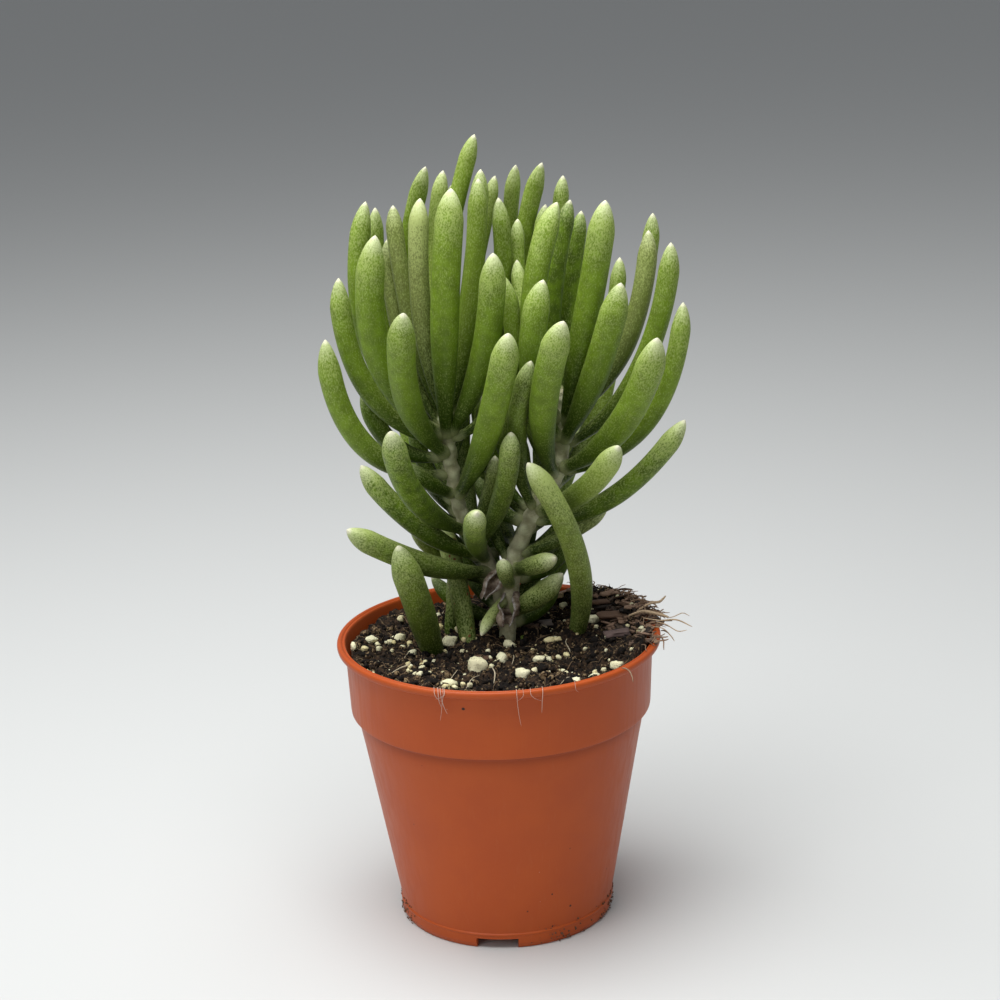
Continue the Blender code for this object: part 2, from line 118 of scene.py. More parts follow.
# Tones of leaves: how dull, how mealy, how pale and how white at the tip
# Partly painted light and shade: the pale share lightens high and front leaves, and the dark, deep and
# inner tones darken leaves low, behind or inside the crown
TONES = {
    "fresh": (0.0, 0.40, 0.55, 0.7),
    "bright": (0.0, 0.42, 0.50, 1.0),
    "light": (0.05, 0.45, 0.80, 0.5),
    "pale": (0.2, 0.60, 0.90, 0.7),
    "tan": (0.9, 0.75, 0.60, 0.9),
    "dull": (0.75, 0.45, 0.35, 0.5),
    "dark": (0.1, 0.20, 0.0, 0.4),
    "deep": (0.1, 0.40, 0.0, 1.0),
    "mealy": (0.3, 0.50, 0.0, 0.6),
    "scurfy": (0.4, 0.65, 0.15, 1.0),
    "inner": (0.1, 0.10, 0.0, 0.3),
    "yellow": (0.5, 0.30, 0.60, 0.3),
    "dried": (1.0, 0.5, 0.5, 0.0),
}
# Leaves that show from the front: height of the root on the stem, the tip's place,
# sideways bow of the middle (to +X where positive), thickness and tone
LEFT_LEAVES = (
    (222, (-3, 45, 331), -7.5, 7.6, "light"),
    (218, (-1, 40, 317), 2.5, 8.2, "fresh"),
    (214, (-2, 22, 316), 3.5, 8.8, "light"),
    (216, (-24, 48, 317), -14, 7.8, "fresh"),
    (221, (-17, 58, 314), -6, 7.0, "pale"),
    (219, (-13, 61, 308), -2.5, 6.4, "fresh"),
    (221, (5, 58, 311), -0.5, 6.4, "pale"),
    (212, (6, 42, 304), 11, 7.8, "fresh"),
    (205, (-13, 0, 316), -1.5, 11.8, "bright"),
    (214, (-26, 14, 310), -5, 8.4, "tan"),
    (212, (-38, 30, 305), -4.5, 7.6, "dull"),
    (209, (-41, 36, 290), -7, 7.4, "dull"),
    (208, (-49, 28, 307), -18.5, 9.2, "fresh"),
    (213, (-46, 46, 301), -10.5, 7.0, "fresh"),
    (206, (-44, -6, 299), -15, 11.8, "bright"),
    (204, (-61, 14, 278), -15.5, 9.0, "fresh"),
    (199, (-54, 24, 228), -11, 8.2, "dark"),
    (190, (-67, 2, 255), -18.5, 9.8, "fresh"),
    (198, (-33, -30, 272), -9, 11.8, "fresh"),
    (207, (3, -10, 291), 6.5, 11.0, "bright"),
    (205, (6, 8, 279), 16.5, 8.0, "light"),
    (179, (8, -32, 263), 4, 11.8, "bright"),
    (164, (-40, -38, 226), -9, 10.4, "deep"),
    (180, (-36, 4, 200), -1.5, 7.0, "dark"),
    (152, (-55, -2, 202), -6.5, 9.5, "deep"),
    (145, (-61, -24, 181), -5, 10.2, "mealy"),
    (150, (-7, -32, 189), -3, 9.4, "deep"),
    (157, (8, -16, 218), 4, 8.8, "mealy"),
    (163, (1, 2, 203), 3, 7.0, "dull"),
    (139, (-36, 24, 165), -4, 6.4, "yellow"),
)
RIGHT_LEAVES = (
    (221, (14, 61, 314), -11, 6.8, "pale"),
    (219, (25, 50, 317), -13.5, 7.8, "light"),
    (222, (34, 58, 310), -2.5, 6.8, "fresh"),
    (209, (13, 36, 279), -4, 6.4, "fresh"),
    (211, (30, 16, 306), -12, 10.2, "fresh"),
    (213, (36, 30, 305), -6, 7.8, "dark"),
    (215, (41, 42, 298), -1.5, 7.0, "dark"),
    (210, (49, 0, 309), 1, 11.4, "bright"),
    (204, (23, -12, 280), -9, 11.0, "fresh"),
    (188, (30, -36, 268), -6.5, 11.8, "bright"),
    (174, (17, -8, 245), -7, 8.4, "mealy"),
    (211, (56, 28, 280), 6, 7.0, "fresh"),
    (203, (54, -14, 278), 2.5, 11.8, "fresh"),
    (214, (68, 24, 292), 11, 8.4, "dull"),
    (216, (71, 44, 295), 11, 7.4, "fresh"),
    (202, (76, 10, 289), 13.5, 9.0, "fresh"),
    (191, (80, 0, 266), 17.5, 8.6, "fresh"),
    (192, (67, -32, 259), 9.5, 12.0, "bright"),
    (174, (51, -32, 215), 5.5, 10.2, "pale"),
    (170, (80, -6, 218), 10.5, 9.0, "deep"),
    (155, (48, 6, 178), 2.5, 7.4, "dull"),
    (148, (25, -12, 162), 0.5, 8.6, "deep"),
    (130, (28, 0, 151), 2, 9.6, "deep"),
    (141, (3, -8, 161), -1, 7.0, "deep"),
    (153, (-6, 7, 138), -1, 5.0, "dried"),
    (139, (3, 3, 127), 0, 5.0, "dried"),
    (217, (14, 48, 294), -7, 6.4, "fresh"),
    (218, (26, 49, 299.5), -7, 6.4, "fresh"),
    (136, (-7.5, 0, 124), -1.5, 5.2, "deep"),
)
# Leaves behind, which the front hides, are placed by a rule
BACK_LEAVES = 11
BACK_SEEDS = {"left": 5, "right": 9}
BACK_ROOTS = (150.0, 216.0)
BACK_SPREAD, BACK_TURN_DRAW = 75.0, 0.1
BACK_LOWEST, BACK_LIFT, BACK_LIFT_DRAW = 22, 44, 6
BACK_LENGTHS = (62.0, 80.0)
BACK_THICKNESS = (7.5, 9.5)
BACK_LIMIT = 61.0
GOLDEN_SHARE = 0.618

# Small leaves low down behind the stems, which only the finer pieces have
INNER_LEAVES, INNER_TRIES, INNER_SEED = 26, 2500, 41
INNER_ROOTS = (121.0, 178.0)
INNER_TURNS, INNER_LIFTS = (15.0, 165.0), (20.0, 75.0)
INNER_LENGTHS, INNER_THICKNESS = (30.0, 58.0), (6.0, 8.5)
INNER_REACH, INNER_GAP = 42.0, 0.4
INNER_SIDES, INNER_RINGS = 18, 30

# Leaves that stand in the soil: the foot's x and y, the tip, the bow, the thickness and the tone
SOIL_LEAVES = {
    "soil_leaf_arched": ((28, 18), (14, -24, 207), 13, 9.8, "scurfy"),
    "soil_leaf_front": ((-26, 10), (-40, -16, 171), 0, 12.7, "mealy"),
    "soil_leaf_speckled": ((-12, 3), (-23, 20, 170), 1.5, 8.6, "scurfy"),
    "soil_leaf_back": ((-22, 24), (-18, 24, 148), 0.5, 7.5, "deep"),
}
SOIL_LEAF_ROOT = 106.0

# Form of a leaf
ROOT_SHARE, SOIL_ROOT_SHARE = 0.30, 0.55
TIP_LENGTH = 1.3
TIP_POWER = 1.55
BOW_SKEW = 0.85
FLARE, FLARE_PLACE, FLARE_WIDTH = 0.45, 3.4, 2.2
POINT_THINNING, POINT_LENGTH = 0.3, 0.9
DEPTH_BOW, BACK_BOW = 0.12, 0.16
SIGHT = np.array((0.0, 0.956, -0.292))

# How leaves that would cross are bent clear
SAMPLES, STEM_BALLS = 17, 60
LEAF_GAP = 0.8
BEND_STEPS = 160
BEND_RATE = 0.9
# Least share of a push that a leaf which shows follows along the line of sight
SIGHT_SHARE = 0.6
ROOT_ZONE = 0.3
NEARBY = 4.0
LIST_EVERY = 20

# The camera: its place, its downward pitch, its roll and its focal length in widths of the picture
EYE = np.array((2.5, -942.2, 472.3))
PITCH, ROLL = 17.0, -1.92
FOCAL = 2.354
SENSOR = 36.0
PICTURE = 1000.0

# Perlite grains and other bits in the soil, by their place in the picture, and their sizes
PERLITE = (
    (398, 605, 5.6, 3.6), (377, 616, 3.0, 2.6), (351, 631, 2.2, 4.6), (371, 642, 5.8, 3.2),
    (390, 643, 2.4, 2.2), (403, 649, 2.6, 2.2), (413, 654, 3.8, 2.6), (419, 643, 3.0, 2.4),
    (449, 644, 8.0, 3.6), (436, 641, 4.0, 3.0), (478, 670, 7.6, 7.6), (502, 661, 5.0, 4.6),
    (509, 647, 5.0, 4.2), (523, 677, 5.6, 5.0), (448, 686, 6.2, 3.6), (470, 687, 2.4, 2.2),
    (539, 661, 4.6, 2.8), (617, 668, 4.8, 4.0), (594, 621, 5.2, 3.6), (596, 628, 2.4, 2.0),
    (632, 607, 2.6, 2.6), (577, 681, 3.4, 2.0), (595, 678, 4.6, 2.2), (604, 671, 2.0, 2.0),
    (386, 609, 2.8, 2.0), (462, 652, 2.2, 1.8), (488, 652, 2.0, 1.8), (563, 672, 1.8, 1.6),
    (585, 650, 1.8, 1.6), (556, 640, 1.6, 1.6), (606, 651, 1.6, 1.4), (434, 662, 1.6, 1.4),
)
PINK_GRAINS = ((550, 643, 5.2, 2.0), (558, 640, 3.0, 2.0), (567, 656, 3.2, 2.0), (363, 622, 3.0, 2.6))
BARK_CHIPS = (
    (557, 598, 7.0, 4.6, "tan"), (545, 625, 7.0, 4.0, "grey"), (530, 628, 9.0, 3.0, "brown"),
    (612, 617, 12.0, 4.0, "brown"), (618, 635, 10.0, 4.0, "purple"), (600, 604, 8.0, 4.0, "brown"),
    (484, 660, 7.0, 3.2, "brown"),
    (425, 612, 6.0, 3.0, "purple"), (525, 640, 3.6, 2.6, "green"), (584, 612, 7.0, 3.2, "purple"),
)
# Roots and fibres that lie on the soil, each through points of the picture, and its thickness
SURFACE_ROOTS = (
    (((392, 674), (400, 671), (408, 668), (411, 663)), 0.9),
    (((402, 662), (409, 655), (414, 648)), 0.5),
    (((421, 640), (430, 633), (438, 624), (444, 613)), 0.6),
    (((446, 688), (452, 680), (458, 671)), 0.5),
    (((466, 690), (472, 682), (480, 677)), 0.5),
    (((512, 652), (514, 660), (512, 666)), 0.5),
    (((641, 634), (650, 624), (659, 616), (667, 610)), 1.5),
    (((541, 622), (547, 630), (540, 626), (536, 618)), 0.6),
    (((567, 640), (566, 648), (570, 654), (566, 660)), 0.6),
    (((494, 684), (495, 676), (492, 668)), 0.8),
    (((560, 686), (568, 681), (580, 684)), 0.4),
)
# The heap that spills over the lip: its middle and spread in degrees, and how far its fibres reach
HEAP_MIDDLE, HEAP_SPILL = 24.0, 17.0
HEAP_REACH = 83.0
HEAP_ROOTS = (
    (((56, 12, 126.5), (62, 10, 129.0), (68, 8, 128.5), (73, 6, 127.5)), 1.5),
    (((60, 14, 128.0), (66, 16, 130.5), (70, 19, 130.0), (73, 22, 131.5)), 1.2),
    (((62, 6, 127.5), (69, 3, 127.2), (76, 2, 127.6), (82.5, 0, 125.0)), 0.7),
    (((66, 3, 126.8), (71, 0, 126.6), (76, -2, 124.0), (80, -3, 124.6)), 0.45),
    (((68, 8, 127.6), (74, 7, 127.0), (79, 8, 128.4), (82, 7, 127.4)), 0.4),
    (((64, -2, 126.6), (69.5, -4, 126.2), (73, -5, 123.0), (74.5, -5, 120.5)), 0.5),
)
TUFT_START = 61.0
# Fine roots that hang over the front of the lip: x, how far down, sideways drift and thickness
LIP_ROOTS = (
    (6.4, 14.0, 1.6, 0.24), (16.8, 9.0, -0.4, 0.28), (-24.0, 9.0, 2.5, 0.3),
    (-26.5, 4.0, 3.0, 0.24), (12.0, 4.0, 4.5, 0.2), (-23.0, 12.0, -1.5, 0.22),
    (-25.0, 6.0, 1.0, 0.3), (9.0, 3.0, -2.0, 0.16), (-22.5, 3.0, -3.5, 0.24),
    (30.0, 3.0, 1.5, 0.18),
)
LIP_CLEAR = 0.35
# How much a fibre turns from one place to the next, in radians, and how many places it has
WANDER, FIBRE_PLACES = 0.28, 14
# Dirt round the foot: how many crumbs, and the directions in degrees about which they gather
DIRT_CRUMBS = 240
DIRT_TURNS = (-14.0, -22.0, -160.0, -168.0, -60.0, 60.0, 150.0)
DRIED_WIDTHS, DRIED_SHEET = (8.5, 11.0), 0.4

# Dark and light colours of each kind of bit
CHIP_COLOURS = {
    "brown": ((0.03, 0.016, 0.009), (0.115, 0.062, 0.035)),
    "purple": ((0.035, 0.022, 0.02), (0.13, 0.085, 0.075)),
    "tan": ((0.16, 0.10, 0.045), (0.40, 0.29, 0.15)),
    "grey": ((0.06, 0.05, 0.045), (0.20, 0.165, 0.14)),
    "green": ((0.07, 0.11, 0.012), (0.20, 0.28, 0.045)),
}
FLAKE_COLOURS = ((0.014, 0.009, 0.007), (0.24, 0.15, 0.10))
TUFT_COLOURS = ((0.05, 0.03, 0.02), (0.30, 0.19, 0.12))
HEAP_ROOT_COLOURS = ((0.16, 0.10, 0.06), (0.52, 0.38, 0.24))
FIBRE_COLOURS = ((0.035, 0.02, 0.011), (0.20, 0.13, 0.07))
ROOT_COLOURS = ((0.20, 0.14, 0.08), (0.58, 0.49, 0.34))
FINE_ROOT_COLOURS = ((0.26, 0.12, 0.08), (0.60, 0.40, 0.32))
DIRT_COLOURS = ((0.045, 0.022, 0.012), (0.17, 0.085, 0.045))
DRIED_COLOURS = ((0.15, 0.095, 0.062), (0.44, 0.35, 0.27))
SILVER_RIM = (0.75, 0.74, 0.72)
RED_SPECK = (0.23, 0.09, 0.035)
# Colour of the painted shadow under the collar
COLLAR_SHADOW_COLOUR = (0.16, 0.022, 0.006)
POT_SPECK, POT_FLECK = (0.03, 0.015, 0.01), (0.62, 0.42, 0.32)
PERLITE_DIRT = (0.20, 0.14, 0.07)
SKY_COLOUR = (0.93, 0.96, 1.0)

CRUMBS = 2600
CRUMB_SEED, PERLITE_SEED, FIBRE_SEED, CHIP_SEED, HEAP_SEED = 21, 22, 23, 24, 25
LEAF_SEED, STEM_SEED, SPECK_SEED = 31, 32, 33


@dataclass
class Leaf:
    """One leaf: what carries it, its ends, its bows, its thickness and its tone."""

    owner: str
    root: np.ndarray
    tip: np.ndarray
    bow: float
    depth_bow: float
    free_bow: float
    thickness: float
    root_share: float
    shows: bool
    tone: str
    bends: np.ndarray = field(default_factory=lambda: np.zeros((2, 3)))

    def line(self, t):
        """The chord from root to tip, bowed sideways and outwards, plus the two bends."""
        chord = self.tip - self.root
        length = np.linalg.norm(chord)
        along = chord / length
        side = np.cross(SIGHT, along)
        side *= np.sign(side[0]) / np.linalg.norm(side)
        out = self.outwards()
        bend = side * self.bow + SIGHT * (out @ SIGHT) * self.depth_bow * length
        bend = bend + out * self.free_bow * length
        skewed = t**BOW_SKEW
        bowed = self.root + chord * t[:, None] + (4 * skewed * (1 - skewed))[:, None] * bend
        return bowed + bend_shapes(t) @ self.bends

    def tip_share(self):
        """Length of the rounded tip as a share of the distance from root to tip."""
        return TIP_LENGTH * self.thickness / np.linalg.norm(self.tip - self.root)

    def radius(self, t):
        """Narrow at the root, full from the middle on, and closed by half an ellipse at the tip."""
        rise = self.root_share + (1 - self.root_share) * np.sin(np.pi / 2 * np.minimum(t / 0.5, 1))
        from_tip = np.clip((1 - t) / self.tip_share(), 0, 1)
        return self.thickness / 2 * rise * np.sqrt(np.clip(1 - (1 - from_tip) ** 2, 0, 1))

    def outwards(self):
        """The way from the stem that is square to the leaf's chord."""
        chord = self.tip - self.root
        along = chord / np.linalg.norm(chord)
        out = chord * (1, 1, 0)
        out /= np.linalg.norm(out)
        out = out - (out @ along) * along
        return out / np.linalg.norm(out)


def bend_shapes(t):
    return np.stack([t**1.5, 4 * t * (1 - t)], 1)


def smooth_curve(points, count):
    """Evenly numbered points on a Catmull-Rom curve through the given ones."""
    given = np.array(points, float)
    ends = np.vstack([2 * given[0] - given[1], given, 2 * given[-1] - given[-2]])
    spans = len(given) - 1
    along = np.linspace(0, spans, count)
    first = np.minimum(along.astype(int), spans - 1)
    f = (along - first)[:, None]
    a, b, c, d = (ends[first + k] for k in range(4))
    return 0.5 * (2 * b + (c - a) * f + (2 * a - 5 * b + 4 * c - d) * f**2
                  + (3 * b - a - 3 * c + d) * f**3)


def on_stem(name, height):
    path = smooth_curve(STEMS[name][0], 200)
    return np.array([np.interp(height, path[:, 2], path[:, k]) for k in (0, 1, 2)])


def way_of(turn, lift):
    """The unit vector that points turn round from +X and lift above the level, in radians."""
    return np.array((np.cos(lift) * np.cos(turn), np.cos(lift) * np.sin(turn), np.sin(lift)))


def back_leaves(name):
    """Roots, tips and thicknesses of the leaves that the front ones hide."""
    rng = np.random.default_rng(BACK_SEEDS[name])
    low, high = BACK_ROOTS
    for k in range(BACK_LEAVES):
        turn = np.radians(90 + ((k * GOLDEN_SHARE) % 1 - 0.5) * BACK_SPREAD)
        turn += rng.uniform(-BACK_TURN_DRAW, BACK_TURN_DRAW)
        lift = BACK_LOWEST + BACK_LIFT * k / BACK_LEAVES
        lift = np.radians(lift + rng.uniform(-BACK_LIFT_DRAW, BACK_LIFT_DRAW))
        root = on_stem(name, low + (high - low) * (k + 0.5) / BACK_LEAVES)
        tip = root + rng.uniform(*BACK_LENGTHS) * way_of(turn, lift)
        tip[1] = min(tip[1], BACK_LIMIT)
        yield root, tip, rng.uniform(*BACK_THICKNESS)


def lay_out_leaves():
    leaves = []
    for name, rows in (("left", LEFT_LEAVES), ("right", RIGHT_LEAVES)):
        for height, tip, bow, thickness, tone in rows:
            leaves.append(Leaf(name, on_stem(name, height), np.array(tip, float), bow,
                               DEPTH_BOW, 0.0, thickness, ROOT_SHARE, True, tone))
        for root, tip, thickness in back_leaves(name):
            leaves.append(Leaf(name, root, tip, 0.0, 0.0, BACK_BOW, thickness, ROOT_SHARE,
                               False, "fresh"))
    for name, (foot, tip, bow, thickness, tone) in SOIL_LEAVES.items():
        root = np.array((*foot, SOIL_LEAF_ROOT), float)
        leaves.append(Leaf(name, root, np.array(tip, float), bow, DEPTH_BOW, 0.0, thickness,
                           SOIL_ROOT_SHARE, True, tone))
    return leaves


def near_pairs(balls, others, radius, owner, number, place):
    """Pairs of balls that may meet: near, not of one leaf, and not both at the roots of one stem."""
    count = len(balls)
    apart = np.linalg.norm(balls[:, None] - others[None], axis=2)
    near = apart < radius[:count, None] + radius + LEAF_GAP + NEARBY
    near &= number[:count, None] != number
    rooted = place < ROOT_ZONE
    near &= ~(rooted[:count, None] & rooted & (owner[:count, None] == owner))
    return np.nonzero(near)


def pushes(balls, others, radius, a, b):
    """How far each ball of a leaf is pushed. Two leaves share a push, and a stem takes none."""
    gap = balls[a] - others[b]
    distance = np.linalg.norm(gap, axis=1)
    short = np.maximum(radius[a] + radius[b] + LEAF_GAP - distance, 0)
    share = short / (np.bincount(a, short, len(balls)) + 1e-9)[a]
    share *= np.where(b < len(balls), 0.5, 1.0)
    force = (short * share / distance)[:, None] * gap
    return np.stack([np.bincount(a, force[:, k], len(balls)) for k in range(3)], 1)


def bend_clear(leaves):
    """Bends leaves that would cross until LEAF_GAP lies between them.

    Each leaf is a row of balls. Balls of two leaves that come too near push each other, and a
    leaf follows its pushes with two smooth shapes only, one for the tip and one for the middle.
    Leaves that show from the front move along the line of sight, so they stay where they show.
    """
    t = np.linspace(0, 1, SAMPLES)
    start = np.array([leaf.line(t) for leaf in leaves])
    shows = np.array([leaf.shows for leaf in leaves])
    owners = sorted({leaf.owner for leaf in leaves})
    leaf_owner = np.repeat([owners.index(leaf.owner) for leaf in leaves], SAMPLES)
    stem_owner = np.repeat([owners.index(name) for name in STEMS], STEM_BALLS)
    stem_balls = np.vstack([smooth_curve(points, STEM_BALLS) for points, _ in STEMS.values()])
    radius = np.concatenate([leaf.radius(t) for leaf in leaves]
                            + [np.full(STEM_BALLS, thick) for _, thick in STEMS.values()])
    owner = np.concatenate([leaf_owner, stem_owner])
    number = np.concatenate([np.repeat(np.arange(len(leaves)), SAMPLES), -1 - stem_owner])
    place = np.concatenate([np.tile(t, len(leaves)), np.zeros(len(stem_balls))])
    shapes = bend_shapes(t)
    fit = np.linalg.pinv(shapes)
    bends = np.zeros((len(leaves), 2, 3))
    for step in range(BEND_STEPS):
        balls = (start + np.einsum("mk,nkd->nmd", shapes, bends)).reshape(-1, 3)
        others = np.vstack([balls, stem_balls])
        if step % LIST_EVERY == 0:
            pairs = near_pairs(balls, others, radius, owner, number, place)
        push = pushes(balls, others, radius, *pairs).reshape(len(leaves), SAMPLES, 3)
        seen = push @ SIGHT
        seen = np.sign(seen) * np.maximum(np.abs(seen), SIGHT_SHARE * np.linalg.norm(push, axis=2))
        push = np.where(shows[:, None, None], seen[..., None] * SIGHT, push)
        bends += BEND_RATE * np.einsum("km,nmd->nkd", fit, push)
    for leaf, bend in zip(leaves, bends):
        leaf.bends = bend
    return leaves


@lru_cache(maxsize=None)
def grown_leaves():
    return bend_clear(lay_out_leaves())


def inner_leaves(leaves):
    """Small leaves by seeded draws, kept only where they cross no leaf or stem past their root."""
    rng = np.random.default_rng(INNER_SEED)
    t = np.linspace(0, 1, SAMPLES)
    free = t > ROOT_ZONE
    balls = np.vstack([leaf.line(t) for leaf in leaves]
                      + [smooth_curve(points, SAMPLES) for points, _ in STEMS.values()])
    radii = np.concatenate([leaf.radius(t) for leaf in leaves]
                           + [np.full(SAMPLES, radius) for _, radius in STEMS.values()])
    found = []
    for _ in range(INNER_TRIES):
        name = ("left", "right")[rng.integers(2)]
        root = on_stem(name, rng.uniform(*INNER_ROOTS))
        turn, lift = np.radians(rng.uniform(*INNER_TURNS)), np.radians(rng.uniform(*INNER_LIFTS))
        tip = root + rng.uniform(*INNER_LENGTHS) * way_of(turn, lift)
        leaf = Leaf(name, root, tip, 0.0, 0.0, BACK_BOW, rng.uniform(*INNER_THICKNESS), ROOT_SHARE,
                    False, "inner")
        line, radius = leaf.line(t), leaf.radius(t)
        apart = np.linalg.norm(line[free][:, None] - balls, axis=2) - radius[free][:, None] - radii
        if apart.min() > INNER_GAP and abs(tip[0]) < INNER_REACH and line[:, 1].max() < BACK_LIMIT:
            found.append(leaf)
            balls, radii = np.vstack([balls, line]), np.concatenate([radii, radius])
        if len(found) == INNER_LEAVES:
            break
    return found


def make_piece(name, points, faces, material, replaces=(), attributes=None, smooth=True):
    """A piece in metres from points in millimetres about the pot's axis.

    attributes gives arrays of one value or one vector for each point.
    """
    placed = (np.asarray(points, float).reshape(-1, 3) + (SHIFT_X, 0, 0)) * MM
    mesh = bpy.data.meshes.new(name)
    mesh.from_pydata(placed.tolist(), [], faces)
    for key, values in (attributes or {}).items():
        values = np.asarray(values, np.float32)
        vector = values.ndim > 1
        attribute = mesh.attributes.new(key, "FLOAT_VECTOR" if vector else "FLOAT", "POINT")
        attribute.data.foreach_set("vector" if vector else "value", values.ravel())
    mesh.materials.append(material)
    if smooth:
        mesh.shade_smooth()
    obj = bpy.data.objects.new(name, mesh)
    bpy.context.scene.collection.objects.link(obj)
    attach(obj, BODY)
    if replaces:
        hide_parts(*replaces)
    return obj


def make_bits(name, points, faces, material, shades):
    """A piece of the potting mix. shades is one number, or one for each of its like bits."""
    points_each = len(points) // max(1, np.size(shades))
    return make_piece(name, points, faces, material, (),
                      {"shade": np.repeat(shades, points_each)})


def unit(vectors):
    return vectors / np.linalg.norm(vectors, axis=-1, keepdims=True)


def tube_points(paths, radii, faced):
    """Points of k tubes: n rings about each path, of m points each, as an array (k, n, m, 3).

    A ring point is the path's point plus its radius times cos(u) along the faced way and sin(u)
    square to it. The faced way (k, 3) is made square to the path at every ring.
    radii is (k, n, m).
    """
    ahead = unit(np.gradient(paths, axis=1))
    faced = faced[:, None, :] - (ahead @ faced[:, :, None]) * ahead
    faced = unit(faced)
    across = np.cross(ahead, faced)
    u = np.arange(radii.shape[2]) * TURN / radii.shape[2]
    ring = np.cos(u)[:, None] * faced[:, :, None] + np.sin(u)[:, None] * across[:, :, None]
    return paths[:, :, None] + radii[..., None] * ring


def tube_faces(tubes, rings, sides):
    """Quads between the rings of tubes, and a fan of triangles to a pole at each end.

    The points are ordered tube by tube, ring by ring, and each tube's two poles follow its rings.
    """
    per_tube = rings * sides + 2
    k, i, j = np.meshgrid(np.arange(tubes), np.arange(rings - 1), np.arange(sides), indexing="ij")
    nearest = k * per_tube + i * sides
    after = (j + 1) % sides
    quads = np.stack([nearest + j, nearest + after, nearest + sides + after, nearest + sides + j], -1)
    k, j = np.meshgrid(np.arange(tubes), np.arange(sides), indexing="ij")
    first, last = k * per_tube, k * per_tube + (rings - 1) * sides
    after = (j + 1) % sides
    low = np.stack([first + after, first + j, k * per_tube + rings * sides], -1)
    high = np.stack([last + j, last + after, k * per_tube + rings * sides + 1], -1)
    return quads.reshape(-1, 4).tolist() + low.reshape(-1, 3).tolist() + high.reshape(-1, 3).tolist()


def with_poles(grid, first, last):
    """Joins a (k, n, m, d) array and its (k, d) poles into one (k * (n * m + 2), d) array."""
    k, n, m, d = grid.shape
    joined = np.concatenate([grid.reshape(k, n * m, d), first[:, None], last[:, None]], 1)
    return joined.reshape(-1, d)


def leaf_places(count):
    """Places along a leaf from 0 to 1, closer together towards the root and most at the tip."""
    even = np.linspace(0, 1, count + 2)[1:-1]
    return 1 - (1 - (0.6 * even + 0.4 * even**1.5)) ** 1.7


def pointed_share(leaves, t):
    """How much narrower a tip of power TIP_POWER is than the half ellipse of power 2."""
    reach = np.array([leaf.tip_share() for leaf in leaves])
    close = 1 - np.clip((1 - t) / reach[:, None], 0, 1)
    return (1 - close**TIP_POWER) ** (1 / TIP_POWER) / np.sqrt(1 - close**2)


def line_lengths(leaves):
    """Lengths of the leaves' centre lines, as a column."""
    lines = np.array([leaf.line(np.linspace(0, 1, 40)) for leaf in leaves])
    return np.linalg.norm(np.diff(lines, axis=1), axis=2).sum(1)[:, None]


def leaf_radii(leaves, t, u, length, rng):
    """The radius at each ring point of each leaf, as an array (k, n, m).

    It is the solid's radius, times 1 plus a few per cent of slow sines of u and t, less a flat
    along the side that faces the stem, more a flare where the leaf leaves the stem, and less
    towards the very tip, which ends in a small point.
    """
    in_soil = np.array([leaf.owner in SOIL_LEAVES for leaf in leaves])[:, None]
    dull = np.array([TONES[leaf.tone][0] for leaf in leaves])[:, None, None]
    radius = np.array([leaf.radius(t) for leaf in leaves])
    flare = np.where(in_soil, 0.0, FLARE) * np.exp(-(((t * length - FLARE_PLACE) / FLARE_WIDTH) ** 2))
    point = 1 - POINT_THINNING * np.exp(-(1 - t) * length / POINT_LENGTH)
    radius = radius * (1 + flare) * pointed_share(leaves, t) * point
    phase = rng.uniform(0, TURN, (4, len(leaves), 1, 1))
    t = t[:, None]
    slow = (0.020 * np.sin(2 * u + phase[0]) + 0.014 * np.sin(3 * u + 7 * t + phase[1])
            + 0.020 * np.sin(9 * t + u + phase[2]))
    slow = slow + (0.006 + 0.012 * dull) * np.sin(9 * u + phase[3] + 2 * t)
    flat = 0.055 * np.maximum(np.cos(u), 0) ** 2
    return radius[..., None] * (1 + slow - flat)


def leaf_points(leaves, sides, rings, rng):
    """Skins of leaves and what their material reads."""
    k = len(leaves)
    t = leaf_places(rings)
    u = np.arange(sides) * TURN / sides
    paths = np.array([leaf.line(t) for leaf in leaves])
    ends = np.array([leaf.line(np.array([0.0, 1.0])) for leaf in leaves])
    tones = np.array([TONES[leaf.tone] for leaf in leaves])
    length = line_lengths(leaves)
    root_away, tip_away = t * length, (1 - t) * length
    radii = leaf_radii(leaves, t, u, length, rng)
    faced = -np.array([leaf.outwards() for leaf in leaves])
    grid = tube_points(paths, radii, faced)
    points = with_poles(grid, ends[:, 0], ends[:, 1])
    offset = rng.uniform(-500, 500, (k, 1, 1, 3))
    own = np.stack([radii * np.cos(u), radii * np.sin(u), np.broadcast_to(
        root_away[..., None], radii.shape)], -1) + offset
    own = with_poles(own, own[:, 0].mean(1), own[:, -1].mean(1))

    def spread(values):
        """(k, n) values repeated round each ring, with the first and last at the poles."""
        grid = np.repeat(values[:, :, None, None], sides, 2)
        return with_poles(grid, values[:, :1], values[:, -1:])[:, 0]

    upward = unit(grid - paths[:, :, None])[..., 2:]
    upward = with_poles(upward, np.zeros((k, 1)), np.ones((k, 1)))[:, 0]
    tone = np.repeat(tones[:, :3], rings * sides + 2, 0)
    return points, {
        "leaf_place": own,
        "leaf_tone": tone,
        "upward": upward,
        "from_root": spread(root_away),
        "from_tip": spread(tip_away),
        "tip_white": np.repeat(tones[:, 3], rings * sides + 2),
    }


